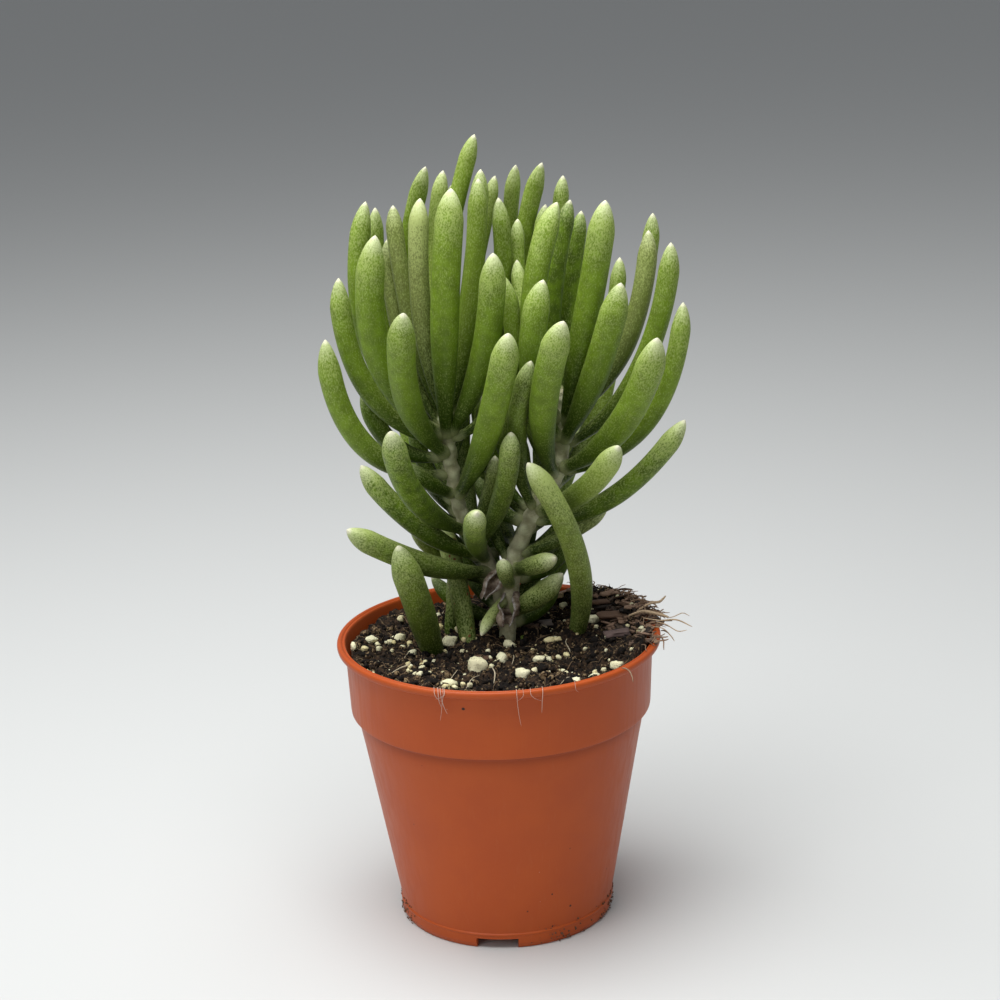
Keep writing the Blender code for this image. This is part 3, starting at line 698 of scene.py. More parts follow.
def cell_noise(x, y, size, seed):
    """Round lumps on a jittered grid: 1 at a lump's middle, 0 at its edge, highest lump wins."""
    rng = np.random.default_rng(seed)
    side = LUMP_CELLS
    jitter = rng.uniform(0.05, 0.95, (side, side, 2))
    lump = rng.uniform(0.35, 1.0, (side, side))
    column, row = np.floor(x / size).astype(int), np.floor(y / size).astype(int)
    best = np.zeros_like(x)
    for step_x in (-1, 0, 1):
        for step_y in (-1, 0, 1):
            i, j = (column + step_x) % side, (row + step_y) % side
            centre_x = (column + step_x + jitter[i, j, 0]) * size
            centre_y = (row + step_y + jitter[i, j, 1]) * size
            away = np.hypot(x - centre_x, y - centre_y) / (0.75 * size)
            best = np.maximum(best, lump[i, j] * np.sqrt(np.clip(1 - away**2, 0, 1)))
    return best


def soil_body_height(x, y):
    """Height of the soil's solid: level but for a mound to the right, a rise to the wall and a heap.

    Broad unevenness and single grains lie on that.
    """
    rng = np.random.default_rng(SOIL_SEED)
    height = SOIL_LEVEL + SOIL_MOUND * np.clip(x / MOUND_REACH, 0, 1) ** 2
    away = np.hypot(x, y)
    turn = np.degrees(np.arctan2(y, x))
    height = height + EDGE_RISE * np.clip((away - EDGE_START) / (COLLAR_RADIUS - EDGE_START), 0, 1) ** 2
    heaped = np.clip((away - HEAP_START) / (COLLAR_RADIUS - HEAP_START), 0, 1) ** 1.5
    height = height + HEAP * heaped * np.exp(-(((turn - HEAP_TURN) / HEAP_SPREAD) ** 2))
    for _ in range(WAVES):
        turn, phase = rng.uniform(0, TURN, 2)
        along = x * np.cos(turn) + y * np.sin(turn)
        height = height + UNEVEN * np.sin(along / WAVE_LENGTH + phase)
    reach = np.sqrt(rng.uniform(0.02, 0.85, GRAINS)) * GRAIN_REACH
    around = rng.uniform(0, TURN, GRAINS)
    for grain_x, grain_y in zip(reach * np.cos(around), reach * np.sin(around)):
        away = np.hypot(x - grain_x, y - grain_y)
        height = height + GRAIN_HEIGHT * np.exp(-((away / GRAIN_WIDTH) ** 2))
    return height


def soil_top(x, y):
    """The solid's soil height with the lumps of LUMPS, sunk a little so that they stand round it.

    A loose crest stands on the heap at the right, where peat and bark cover the lip.
    """
    lumps = sum(rise * cell_noise(x + shift_x, y + shift_y, size, seed)
                for seed, (rise, size, shift_x, shift_y) in enumerate(LUMPS, 1))
    turn = np.degrees(np.arctan2(y, x))
    crest = np.clip((np.hypot(x, y) - CREST_START) / CREST_WIDTH, 0, 1)
    crest = crest * np.exp(-(((turn - HEAP_TURN) / CREST_SPREAD) ** 2))
    return soil_body_height(x, y) - LUMP_SINK + lumps + CREST_RISE * crest


def camera_turn():
    """The camera's turn: level and ahead along +Y, pitched down, then rolled."""
    return (Matrix.Rotation(np.radians(90 - PITCH), 3, "X")
            @ Matrix.Rotation(np.radians(ROLL), 3, "Z"))


def sight_line(pixel_x, pixel_y):
    """The way from the eye through a place in the picture."""
    across = (pixel_x / PICTURE - 0.5) / FOCAL
    down = (pixel_y / PICTURE - 0.5) / FOCAL
    return np.array(camera_turn()) @ np.array((across, -down, -1.0))


def on_soil(pixel_x, pixel_y):
    """The first place on a line of sight that lies below the soil's top, kept inside the pot."""
    way = sight_line(pixel_x, pixel_y)
    heights = np.arange(134.0, 112.0, -0.1)
    places = EYE + way * ((heights - EYE[2]) / way[2])[:, None]
    away = np.hypot(places[:, 0], places[:, 1])
    under = (soil_top(places[:, 0], places[:, 1]) > heights) & (away < SOIL_EDGE)
    place = places[np.argmax(under)] if under.any() else places[np.argmin(away)]
    place[:2] *= min(1.0, (SOIL_EDGE - 1.0) / np.hypot(place[0], place[1]))
    place[2] = soil_top(place[:1], place[1:2])[0]
    return place


def turn_matrices(angles):
    """Rotation matrices (k, 3, 3) about Z, then X, then Z again by three angles each."""
    def about(angle, axis):
        c, s = np.cos(angle), np.sin(angle)
        o, l = np.zeros_like(c), np.ones_like(c)
        rows = ((c, -s, o, s, c, o, o, o, l), (l, o, o, o, c, -s, o, s, c))[axis]
        return np.stack(rows, -1).reshape(-1, 3, 3)
    return about(angles[:, 0], 0) @ about(angles[:, 1], 1) @ about(angles[:, 2], 0)


def lump_points(centres, sizes, angles, rng, sides=8, rings=4, boxy=0.0, uneven=0.16):
    """k lumps as turned ellipsoids: radius 1 plus a few random waves of u and v.

    With boxy above 0 the round section is squared by raising cosines and sines to 1 - boxy.
    """
    k = len(centres)
    v = (np.arange(rings) + 1) * np.pi / (rings + 1)
    u = np.arange(sides) * TURN / sides
    v, u = np.meshgrid(v, u, indexing="ij")
    power = 1 - boxy

    def squared(values):
        return np.sign(values) * np.abs(values) ** power

    ball = np.stack([squared(np.sin(v)) * squared(np.cos(u)),
                     squared(np.sin(v)) * squared(np.sin(u)), -squared(np.cos(v))], -1)
    phase = rng.uniform(0, TURN, (4, k, 1, 1))
    wave = (np.sin(2 * u + phase[0]) * np.sin(v) + np.sin(3 * u + 2 * v + phase[1]) * np.sin(v)
            + np.sin(4 * v + u + phase[2]) * np.sin(v) + 0.6 * np.sin(5 * u - 3 * v + phase[3]) * np.sin(v))
    grid = ball * (1 + uneven * wave)[..., None]
    poles = np.broadcast_to(np.array([[[0, 0, -1.0]], [[0, 0, 1.0]]]), (2, k, 3))
    turns = turn_matrices(angles)
    grid = np.einsum("kab,knmb->knma", turns, grid * sizes[:, None, None] / 2) + centres[:, None, None]
    poles = np.einsum("kab,pkb->pka", turns, poles * sizes / 2) + centres
    return with_poles(grid, poles[0], poles[1]), tube_faces(k, rings, sides)


def scattered(count, rng, reach=SOIL_EDGE - 1.5):
    """Random places on the soil, even over its area."""
    distance = reach * np.sqrt(rng.uniform(0, 1, count))
    around = rng.uniform(0, TURN, count)
    x, y = distance * np.cos(around), distance * np.sin(around)
    return np.stack([x, y, soil_top(x, y)], 1)


def disc_grid(count):
    """A square grid laid over the unit disc, so that its cells keep about the same area.

    With r the larger of |a| and |b|, the angle turns through an eighth of a circle as the smaller
    one goes from 0 to r.
    """
    side = np.linspace(-1, 1, count)
    a, b = np.meshgrid(side, side, indexing="ij")
    wide = np.abs(a) >= np.abs(b)
    with np.errstate(divide="ignore", invalid="ignore"):
        angle = np.where(wide, np.pi / 4 * b / a, np.pi / 2 - np.pi / 4 * a / b)
    angle = np.nan_to_num(angle)
    reach = np.where(wide, a, b)
    return reach * np.cos(angle), reach * np.sin(angle)


def border_of(count):
    """Numbers of the grid's outer points in order round it, anticlockwise."""
    index = np.arange(count * count).reshape(count, count)
    return np.concatenate([index[:-1, 0], index[-1, :-1], index[:0:-1, -1], index[0, :0:-1]])


def rounded(corners, steps=5):
    """A profile through corners (radius, height, round), each corner cut by a quadratic curve."""
    given = np.array(corners, float)
    profile = [given[0, :2]]
    for before, here, after in zip(given, given[1:], given[2:]):
        reach = here[2]
        start = here[:2] + unit(before[:2] - here[:2]) * reach
        end = here[:2] + unit(after[:2] - here[:2]) * reach
        if reach == 0:
            profile.append(here[:2])
            continue
        for f in np.linspace(0, 1, steps):
            profile.append((1 - f) ** 2 * start + 2 * f * (1 - f) * here[:2] + f**2 * end)
    profile.append(given[-1, :2])
    return np.array(profile)


def pot_profile():
    """The pot's wall in section, from the middle of the underside round to the middle of the floor."""
    inner_foot = FOOT_RADIUS - FOOT_WIDTH
    lip_bottom = POT_HEIGHT - LIP_HEIGHT
    inside = SHOULDER_RADIUS - WALL
    return rounded((
        (0.0, RECESS, 0), (inner_foot, RECESS, 0.6), (inner_foot, 0.0, 0.3),
        (FOOT_RADIUS - FOOT_BEVEL, 0.0, 0.4), (FOOT_RADIUS - 0.1, 2 * FOOT_BEVEL, 0.8),
        (FOOT_RADIUS - 0.1, FOOT_HEIGHT - 0.6, 0.2), (FOOT_RADIUS + 0.15, FOOT_HEIGHT - 0.2, 0.2),
        (FOOT_RADIUS, FOOT_HEIGHT + 0.3, 0.2), (BASE_RADIUS, FOOT_HEIGHT + 0.6, 0.2),
        (SHOULDER_RADIUS, SHOULDER_BOTTOM, 3.0), *NECK,
        (NECK_RADIUS, COLLAR_EDGE + 0.4, 0.3), (COLLAR_RADIUS, COLLAR_EDGE - 0.3, 0.3),
        (COLLAR_RADIUS + 0.2, COLLAR_EDGE + 1.2, 0.6),
        (COLLAR_TOP_RADIUS, lip_bottom - 0.2, 0.5), (LIP_RADIUS - 0.6, lip_bottom + 0.1, 0.6),
        (LIP_RADIUS, lip_bottom + 1.3, 0.9), (LIP_RADIUS - 0.4, POT_HEIGHT, 1.0),
        (LIP_RADIUS - 2.0, POT_HEIGHT - 0.1, 0.5), (LIP_RADIUS - 2.5, POT_HEIGHT - 0.8, 0.3),
        (LIP_RADIUS - 3.2, POT_HEIGHT - 0.2, 0.4), (LIP_RADIUS - 3.8, POT_HEIGHT - 1.0, 0.5),
        (COLLAR_TOP_RADIUS - WALL, POT_HEIGHT - 9.0, 1.0), (COLLAR_RADIUS - WALL, COLLAR_BOTTOM, 2.0),
        (inside, SHOULDER_BOTTOM, 3.0), (BASE_RADIUS - WALL, RECESS + WALL, 1.5),
        (0.0, RECESS + WALL, 0),
    ))


def pot_turns(count):
    """Angles of the pot's columns, with two close together at each edge of each notch."""
    half = np.degrees(np.arcsin(NOTCH_WIDTH / 2 / FOOT_RADIUS))
    middles = NOTCH_TURN + 360 * np.arange(NOTCHES) / NOTCHES
    sliver = 0.02
    edges = [m + side * half + step for m in middles for side in (-1, 1) for step in (-sliver, sliver)]
    even = np.arange(count) * 360 / count
    turns = np.unique(np.round(np.concatenate([np.mod(edges, 360), even]), 4))
    apart = np.abs((turns[:, None] - middles + 180) % 360 - 180).min(1)
    return np.radians(turns), apart < half


def pot_points(settings):
    """The section turned about Z. Within a notch the foot's low points are raised to its top."""
    profile = pot_profile()
    turns, in_notch = pot_turns(settings.sides)
    radius, height = profile[1:-1, 0][:, None], profile[1:-1, 1][:, None]
    raised = np.maximum(height, NOTCH_HEIGHT)
    height = np.where(in_notch & (radius > DRAIN_PLACE + DRAIN_RADIUS), raised, height)
    grid = np.stack([radius * np.cos(turns), radius * np.sin(turns), height], -1)
    centres = np.array([[0, 0, profile[0, 1]], [0, 0, profile[-1, 1]]])
    return with_poles(grid[None], centres[:1], centres[1:]), tube_faces(1, *grid.shape[:2])


def cut_drains(obj):
    """Bores the drain holes through the pot's floor with one Boolean, which is applied."""
    group = bpy.data.collections.new("drains")
    bpy.context.scene.collection.children.link(group)
    cutters = []
    for k in range(NOTCHES):
        bm = bmesh.new()
        bmesh.ops.create_cone(bm, cap_ends=True, segments=DRAIN_SIDES, radius1=DRAIN_RADIUS * MM,
                              radius2=DRAIN_RADIUS * MM, depth=DRAIN_DEPTH * MM)
        turn = np.radians(NOTCH_TURN + 360 * k / NOTCHES)
        place = (DRAIN_PLACE * np.cos(turn) + SHIFT_X, DRAIN_PLACE * np.sin(turn), RECESS + WALL / 2)
        bm.transform(Matrix.Translation([c * MM for c in place]))
        mesh = bpy.data.meshes.new(f"drain_{k}")
        bm.to_mesh(mesh)
        bm.free()
        cutters.append(bpy.data.objects.new(f"drain_{k}", mesh))
        group.objects.link(cutters[-1])
    cut = obj.modifiers.new("drains", "BOOLEAN")
    cut.operation = "DIFFERENCE"
    cut.solver = "EXACT"
    cut.operand_type = "COLLECTION"
    cut.collection = group
    bpy.context.view_layer.objects.active = obj
    bpy.ops.object.modifier_apply(modifier=cut.name)
    for cutter in cutters:
        bpy.data.objects.remove(cutter, do_unlink=True)
    bpy.data.collections.remove(group)


def merge_close(obj, distance=0.0005 * MM):
    bm = bmesh.new()
    bm.from_mesh(obj.data)
    bmesh.ops.remove_doubles(bm, verts=bm.verts, dist=distance)
    bmesh.ops.dissolve_degenerate(bm, edges=bm.edges, dist=distance)
    bmesh.ops.recalc_face_normals(bm, faces=bm.faces)
    bm.to_mesh(obj.data)
    bm.free()


def soil_mesh(count):
    """The top of the soil on a disc grid, and a side of rings that follows the wall to the floor."""
    x, y = disc_grid(count)
    x, y = x * SOIL_EDGE, y * SOIL_EDGE
    top = np.stack([x, y, soil_top(x, y)], -1).reshape(-1, 3)
    border = border_of(count)
    rim = unit(top[border] * (1, 1, 0))
    side = [(COLLAR_RADIUS - WALL - SOIL_GAP, COLLAR_BOTTOM),
            (SHOULDER_RADIUS - WALL - SOIL_GAP, SHOULDER_BOTTOM),
            (BASE_RADIUS - WALL - SOIL_GAP, RECESS + WALL + SOIL_GAP)]
    rings = [rim * radius + (0, 0, height) for radius, height in side]
    points = np.vstack([top, *rings, [[0, 0, side[-1][1]]]])
    i, j = np.meshgrid(np.arange(count - 1), np.arange(count - 1), indexing="ij")
    first = (i * count + j).ravel()
    faces = np.stack([first, first + count, first + count + 1, first + 1], 1).tolist()
    loops = [border] + [len(top) + n * len(border) + np.arange(len(border)) for n in range(len(side))]
    for high, low in zip(loops, loops[1:]):
        faces += np.stack([high, low, np.roll(low, -1), np.roll(high, -1)], 1).tolist()
    middle = np.full(len(border), len(points) - 1)
    faces += np.stack([loops[-1], middle, np.roll(loops[-1], -1)], 1).tolist()
    return points, faces


# Node groups and materials

def feed(tree, socket, value):
    """Links a socket to another one, or sets it to a value."""
    if isinstance(value, bpy.types.NodeSocket):
        tree.links.new(value, socket)
    else:
        socket.default_value = value


def add_node(tree, kind, inputs=None, **settings):
    """A node with its settings, and its inputs set to values or linked to sockets."""
    node = tree.nodes.new(kind)
    for key, value in settings.items():
        setattr(node, key, value)
    for key, value in (inputs or {}).items():
        feed(tree, node.inputs[key], value)
    return node


def calculate(tree, operation, *values, clamp=False):
    node = add_node(tree, "ShaderNodeMath", dict(enumerate(values)), operation=operation)
    node.use_clamp = clamp
    return node.outputs[0]


def blend_colours(tree, share, first, second):
    """Mix of two colours: sockets or values, by a share that is a socket or a value."""
    node = add_node(tree, "ShaderNodeMix", data_type="RGBA")
    feed(tree, node.inputs[0], share)
    for index, value in ((6, first), (7, second)):
        linked = isinstance(value, bpy.types.NodeSocket)
        feed(tree, node.inputs[index], value if linked else (*value, 1.0))
    return node.outputs[2]


def between(tree, value, low, high, to_low=0.0, to_high=1.0):
    """value carried from the range low to high onto to_low to to_high, smoothly at both ends."""
    inputs = {"Value": value, "From Min": low, "From Max": high, "To Min": to_low, "To Max": to_high}
    return add_node(tree, "ShaderNodeMapRange", inputs, interpolation_type="SMOOTHSTEP").outputs[0]


def new_group(name, inputs, outputs):
    """A shader node group with named inputs (with defaults) and outputs."""
    group = bpy.data.node_groups.new(name, "ShaderNodeTree")
    for key, (kind, default) in inputs.items():
        socket = group.interface.new_socket(name=key, in_out="INPUT", socket_type="NodeSocket" + kind)
        if default is not None:
            socket.default_value = default
    for key, kind in outputs.items():
        group.interface.new_socket(name=key, in_out="OUTPUT", socket_type="NodeSocket" + kind)
    return group, group.nodes.new("NodeGroupInput"), group.nodes.new("NodeGroupOutput")


def placed_group(tree, name, build, inputs):
    """A node that holds the group of that name, which is built where it is first asked for."""
    group = bpy.data.node_groups.get(name) or build(name)
    return add_node(tree, "ShaderNodeGroup", inputs, node_tree=group)


def noise(tree, place, scale, detail=2.0, roughness=0.5):
    """The node of a noise texture that has scale lumps in a millimetre."""
    return add_node(tree, "ShaderNodeTexNoise",
                    {"Vector": place, "Scale": scale, "Detail": detail, "Roughness": roughness})


def scaled(tree, place, factors):
    """A place multiplied by one factor for each axis. Patterns grow longer where it is below 1."""
    return add_node(tree, "ShaderNodeVectorMath", {0: place, 1: factors}, operation="MULTIPLY").outputs[0]


def moved(tree, place, way):
    return add_node(tree, "ShaderNodeVectorMath", {0: place, 1: way}, operation="ADD").outputs[0]


def build_meal(name):
    """Fine pale speckle, a little longer than wide, cut to a mask whose share Amount sets."""
    group, given, made = new_group(
        name,
        {"Place": ("Vector", None), "Amount": ("Float", 0.3), "Size": ("Float", 1.0)},
        {"Mask": "Float", "Height": "Float"},
    )
    stretch = scaled(group, given.outputs["Place"], (1.0, 1.0, 0.6))
    size = calculate(group, "DIVIDE", 1.0, given.outputs["Size"])
    fine = noise(group, stretch, size, 1.5, 0.55)
    broad = noise(group, given.outputs["Place"], 0.13)
    limit = calculate(group, "MULTIPLY_ADD", given.outputs["Amount"], -0.40, 0.72)
    limit = calculate(group, "MULTIPLY_ADD", broad.outputs[0], -0.20, limit)
    over = calculate(group, "SUBTRACT", fine.outputs[0], limit)
    mask = calculate(group, "MULTIPLY", over, 3.6, clamp=True)
    group.links.new(mask, made.inputs["Mask"])
    group.links.new(fine.outputs[0], made.inputs["Height"])
    return group


def build_mottle(name):
    """Slow variation of two sizes, between 0 and 1."""
    group, given, made = new_group(
        name, {"Place": ("Vector", None), "Size": ("Float", 10.0)}, {"Value": "Float"})
    scale = calculate(group, "DIVIDE", 1.0, given.outputs["Size"])
    slow = noise(group, given.outputs["Place"], scale, 4.0, 0.6)
    group.links.new(between(group, slow.outputs[0], 0.3, 0.7), made.inputs["Value"])
    return group


def build_specks(name):
    """Small round specks in a share of the cells of a cell pattern."""
    group, given, made = new_group(
        name,
        {"Place": ("Vector", None), "Size": ("Float", 1.0), "Share": ("Float", 0.1),
         "Spot": ("Float", 0.25)},
        {"Mask": "Float"},
    )
    scale = calculate(group, "DIVIDE", 1.0, given.outputs["Size"])
    warp = noise(group, given.outputs["Place"], scale)
    shifted = moved(group, given.outputs["Place"], warp.outputs["Color"])
    cells = add_node(group, "ShaderNodeTexVoronoi", {"Vector": shifted, "Scale": scale})
    split = add_node(group, "ShaderNodeSeparateColor", {0: cells.outputs["Color"]})
    chosen = calculate(group, "LESS_THAN", split.outputs[0], given.outputs["Share"])
    reach = calculate(group, "MULTIPLY", given.outputs["Spot"], split.outputs[1])
    near = calculate(group, "SUBTRACT", reach, cells.outputs["Distance"])
    spot = calculate(group, "MULTIPLY", near, 12.0, clamp=True)
    group.links.new(calculate(group, "MULTIPLY", chosen, spot), made.inputs["Mask"])
    return group


def mottled(tree, place, size):
    """Slow variation between 0 and 1, with lumps of about size millimetres."""
    return placed_group(tree, "slow_mottle", build_mottle, {"Place": place, "Size": size}).outputs[0]


def speck_mask(tree, place, size, share, spot):
    """A mask of small round specks."""
    inputs = {"Place": place, "Size": size, "Share": share, "Spot": spot}
    return placed_group(tree, "specks", build_specks, inputs).outputs[0]


def new_material(name):
    material = bpy.data.materials.new(name)
    material.use_nodes = True
    shader = material.node_tree.nodes["Principled BSDF"]
    return material, material.node_tree, shader


def paint(tree, shader, colour, roughness, specular=0.5):
    """Gives the shader its colour, its roughness and its gloss, each a socket or a value."""
    feed(tree, shader.inputs["Base Color"], colour)
    feed(tree, shader.inputs["Roughness"], roughness)
    feed(tree, shader.inputs["Specular IOR Level"], specular)


def read(tree, name, output="Fac"):
    return add_node(tree, "ShaderNodeAttribute", attribute_name=name).outputs[output]


def millimetres(tree):
    """Object coordinates in millimetres."""
    place = tree.nodes.new("ShaderNodeTexCoord").outputs["Object"]
    return add_node(tree, "ShaderNodeVectorMath", {0: place, "Scale": 1 / MM}, operation="SCALE").outputs[0]


def bump(tree, shader, height, strength, distance):
    node = add_node(tree, "ShaderNodeBump",
                    {"Strength": strength, "Distance": distance * MM, "Height": height})
    tree.links.new(node.outputs[0], shader.inputs["Normal"])


def leaf_material(name, settings, red_specks=False):
    """Green skin under fine meal, paler to the tip and pale at the root, with more meal and painted light
    on upward faces and painted shade towards the root.
    """
    material, tree, shader = new_material(name)
    place = read(tree, "leaf_place", "Vector")
    tone = add_node(tree, "ShaderNodeSeparateXYZ", {0: read(tree, "leaf_tone", "Vector")})
    dull, mealy, pale = tone.outputs
    from_tip, from_root = read(tree, "from_tip"), read(tree, "from_root")
    tip_white = read(tree, "tip_white")
    share = calculate(tree, "MULTIPLY_ADD", mottled(tree, place, 5.0), 0.7, 0.3)
    green = blend_colours(tree, share, settings.deep_green_and_shade, settings.green)
    # The pale share is partly painted light on leaves high in the crown and in front
    green = blend_colours(tree, calculate(tree, "MULTIPLY", pale, 0.6), green, settings.pale_green)
    green = blend_colours(tree, calculate(tree, "MULTIPLY", dull, 0.85), green, settings.dull_green)
    # Painted shade: the green deepens towards the root, where the crown shades the leaf
    green = blend_colours(tree, between(tree, from_root, 5.0, 62.0, 0.92, 0.0), green, settings.deep_green_and_shade)
    slope = between(tree, from_tip, 0.0, 38.0, 0.6, 0.0)
    whiten = calculate(tree, "MULTIPLY", slope, tip_white)
    # More meal on upward faces: partly real meal and partly painted light from above
    above = between(tree, read(tree, "upward"), -0.2, 0.9, 0.0, 0.35)
    amount = calculate(tree, "ADD", calculate(tree, "MULTIPLY_ADD", mealy, 0.7, whiten), above)
    meal = placed_group(tree, "meal_speckle", build_meal,
                        {"Place": place, "Amount": amount, "Size": 0.55})
    cover = calculate(tree, "MULTIPLY_ADD", amount, 0.36, 0.20)
    cover = calculate(tree, "MULTIPLY", cover, settings.meal_cover)
    felt = calculate(tree, "MULTIPLY", meal.outputs["Mask"], cover, clamp=True)
    colour = blend_colours(tree, felt, green, settings.meal)
    ragged = calculate(tree, "MULTIPLY_ADD", meal.outputs["Height"], -9.0, 4.5)
    tip = between(tree, calculate(tree, "ADD", from_tip, ragged), -1.0, 10.0, 0.75, 0.0)
    colour = blend_colours(tree, calculate(tree, "MULTIPLY", tip, tip_white), colour, settings.tip)
    colour = blend_colours(tree, between(tree, from_tip, 0.4, 2.2, 0.85, 0.0), colour, settings.point)
    colour = blend_colours(tree, between(tree, from_root, 3.0, 8.0, 0.75, 0.0), colour, settings.root)
    if red_specks:
        specks = speck_mask(tree, place, 2.2, 0.35, 0.5)
        colour = blend_colours(tree, specks, colour, RED_SPECK)
    rough = calculate(tree, "MULTIPLY_ADD", meal.outputs["Mask"], 0.15, settings.roughness)
    paint(tree, shader, colour, rough, 0.22)
    bump(tree, shader, meal.outputs["Height"], 0.5, 0.3)
    return material


def bark_material(settings):
    """Tan bark with grey-green flushes, dark cracks and fine ridges round the stem."""
    material, tree, shader = new_material("stem_bark")
    place = millimetres(tree)
    colour = blend_colours(tree, mottled(tree, place, 4.0), settings.bark_dark, settings.bark)
    colour = blend_colours(tree, read(tree, "scar"), colour, settings.scar)
    grain = noise(tree, scaled(tree, place, (1.0, 1.0, 3.0)), 0.9, 5.0, 0.7)
    dark = between(tree, grain.outputs[0], 0.34, 0.46, 0.6, 0.0)
    colour = blend_colours(tree, dark, colour, settings.bark_dark)
    paint(tree, shader, colour, 0.8)
    bump(tree, shader, grain.outputs[0], 0.6, 0.5)
    return material


def dried_material():
    """Papery grey-brown skin, wrinkled lengthwise, silver along parts of the torn rims."""
    material, tree, shader = new_material("dried_leaf")
    place = millimetres(tree)
    mottle = mottled(tree, place, 2.5)
    colour = blend_colours(tree, mottle, *DRIED_COLOURS)
    silver = calculate(tree, "MULTIPLY", read(tree, "rim"), mottle)
    colour = blend_colours(tree, silver, colour, SILVER_RIM)
    paint(tree, shader, colour, 0.6)
    grain = noise(tree, scaled(tree, place, (1.0, 1.0, 0.3)), 1.6, 4.0)
    bump(tree, shader, grain.outputs[0], 0.9, 0.8)
    return material


def plastic_material(settings):
    """Satin terracotta plastic: dusty streaks, a painted shadow under the collar, and specks.

    The dark specks lie closer together low down, and a few pale flecks lie anywhere.
    """
    material, tree, shader = new_material("pot_plastic")
    place = millimetres(tree)
    height = add_node(tree, "ShaderNodeSeparateXYZ", {0: place}).outputs[2]
    colour = blend_colours(tree, mottled(tree, place, 22.0), settings.shade, settings.plastic)
    streak = noise(tree, scaled(tree, place, (1.0, 1.0, 0.06)), 0.55, 4.0, 0.6).outputs[0]
    dust = between(tree, streak, 0.52, 0.8, 0.0, 0.16)
    colour = blend_colours(tree, dust, colour, settings.dust)
    # Painted shadow: the body darkens just under the collar's overhang, where its shade falls
    painted_collar_shadow = between(tree, height, COLLAR_EDGE - 7.0, COLLAR_EDGE, 0.0, 0.55)
    painted_collar_shadow = calculate(tree, "MULTIPLY", painted_collar_shadow, calculate(tree, "LESS_THAN", height, COLLAR_EDGE - 0.25))
    colour = blend_colours(tree, painted_collar_shadow, colour, COLLAR_SHADOW_COLOUR)
    low = between(tree, height, 2.0, 60.0, 0.05, 0.008)
    colour = blend_colours(tree, speck_mask(tree, place, 2.6, low, 0.32), colour, POT_SPECK)
    elsewhere = moved(tree, place, (40.0, 9.0, 5.0))
    colour = blend_colours(tree, speck_mask(tree, elsewhere, 3.2, 0.012, 0.22), colour, POT_FLECK)
    rough = between(tree, streak, 0.35, 0.75, settings.roughness - 0.05, settings.roughness + 0.1)
    paint(tree, shader, colour, rough, 0.24)
    bump(tree, shader, noise(tree, place, 1.6, 3.0).outputs[0], 0.08, 0.25)
    return material


def earth_material(name, colours, roughness=0.9, grain=1.3, strength=0.8):
    """Grainy matter between two colours, with the piece's own shade attribute mixed in."""
    material, tree, shader = new_material(name)
    lumps = noise(tree, millimetres(tree), grain, 5.0, 0.7).outputs[0]
    share = calculate(tree, "MULTIPLY", lumps, read(tree, "shade"), clamp=True)
    colour = blend_colours(tree, between(tree, share, 0.1, 0.6), *colours)
    paint(tree, shader, colour, roughness)
    bump(tree, shader, lumps, strength, 0.5)
    return material


def cell_colours(tree, place, scale):
    """One random number for each cell of a cell pattern."""
    cells = add_node(tree, "ShaderNodeTexVoronoi", {"Vector": place, "Scale": scale})
    return add_node(tree, "ShaderNodeSeparateColor", {0: cells.outputs["Color"]}).outputs[0]


def peat_material(name, settings):
    """Near-black peat: clumps and the grains in them take brown shades, and a few grains are tan."""
    material, tree, shader = new_material(name)
    place = millimetres(tree)
    shade = read(tree, "shade")
    warp = noise(tree, place, 0.8, 3.0)
    shifted = moved(tree, place, scaled(tree, warp.outputs["Color"], (2.2, 2.2, 2.2)))
    clump, grain = cell_colours(tree, shifted, 0.42), cell_colours(tree, shifted, 1.15)
    mixed = calculate(tree, "MULTIPLY_ADD", grain, 0.5, calculate(tree, "MULTIPLY", clump, 0.5))
    share = between(tree, calculate(tree, "MULTIPLY", mixed, shade), 0.35, 0.85)
    colour = blend_colours(tree, share, settings.peat_dark, settings.peat)
    tan = between(tree, calculate(tree, "MULTIPLY", grain, shade), 0.93, 0.99, 0.0, 0.8)
    colour = blend_colours(tree, tan, colour, settings.fleck)
    paint(tree, shader, colour, 0.92, 0.25)
    bump(tree, shader, warp.outputs[0], 1.0, 0.7)
    return material


def perlite_material(settings):
    """Chalky cream grains with pits, each tinted by its own shade attribute."""
    material, tree, shader = new_material("perlite")
    place = millimetres(tree)
    colour = blend_colours(tree, read(tree, "shade"), settings.perlite, settings.perlite_tint)
    dirt = between(tree, noise(tree, place, 1.1, 4.0).outputs[0], 0.3, 0.42, 0.55, 0.0)
    colour = blend_colours(tree, dirt, colour, PERLITE_DIRT)
    paint(tree, shader, colour, 0.85)
    pits = add_node(tree, "ShaderNodeTexVoronoi", {"Vector": place, "Scale": 1.6})
    bump(tree, shader, pits.outputs["Distance"], 0.5, 0.4)
    return material


# What a user may change

def colour_setting(name, description, default):
    return FloatVectorProperty(name=name, description=description, subtype="COLOR", default=default,
                               min=0, max=1)


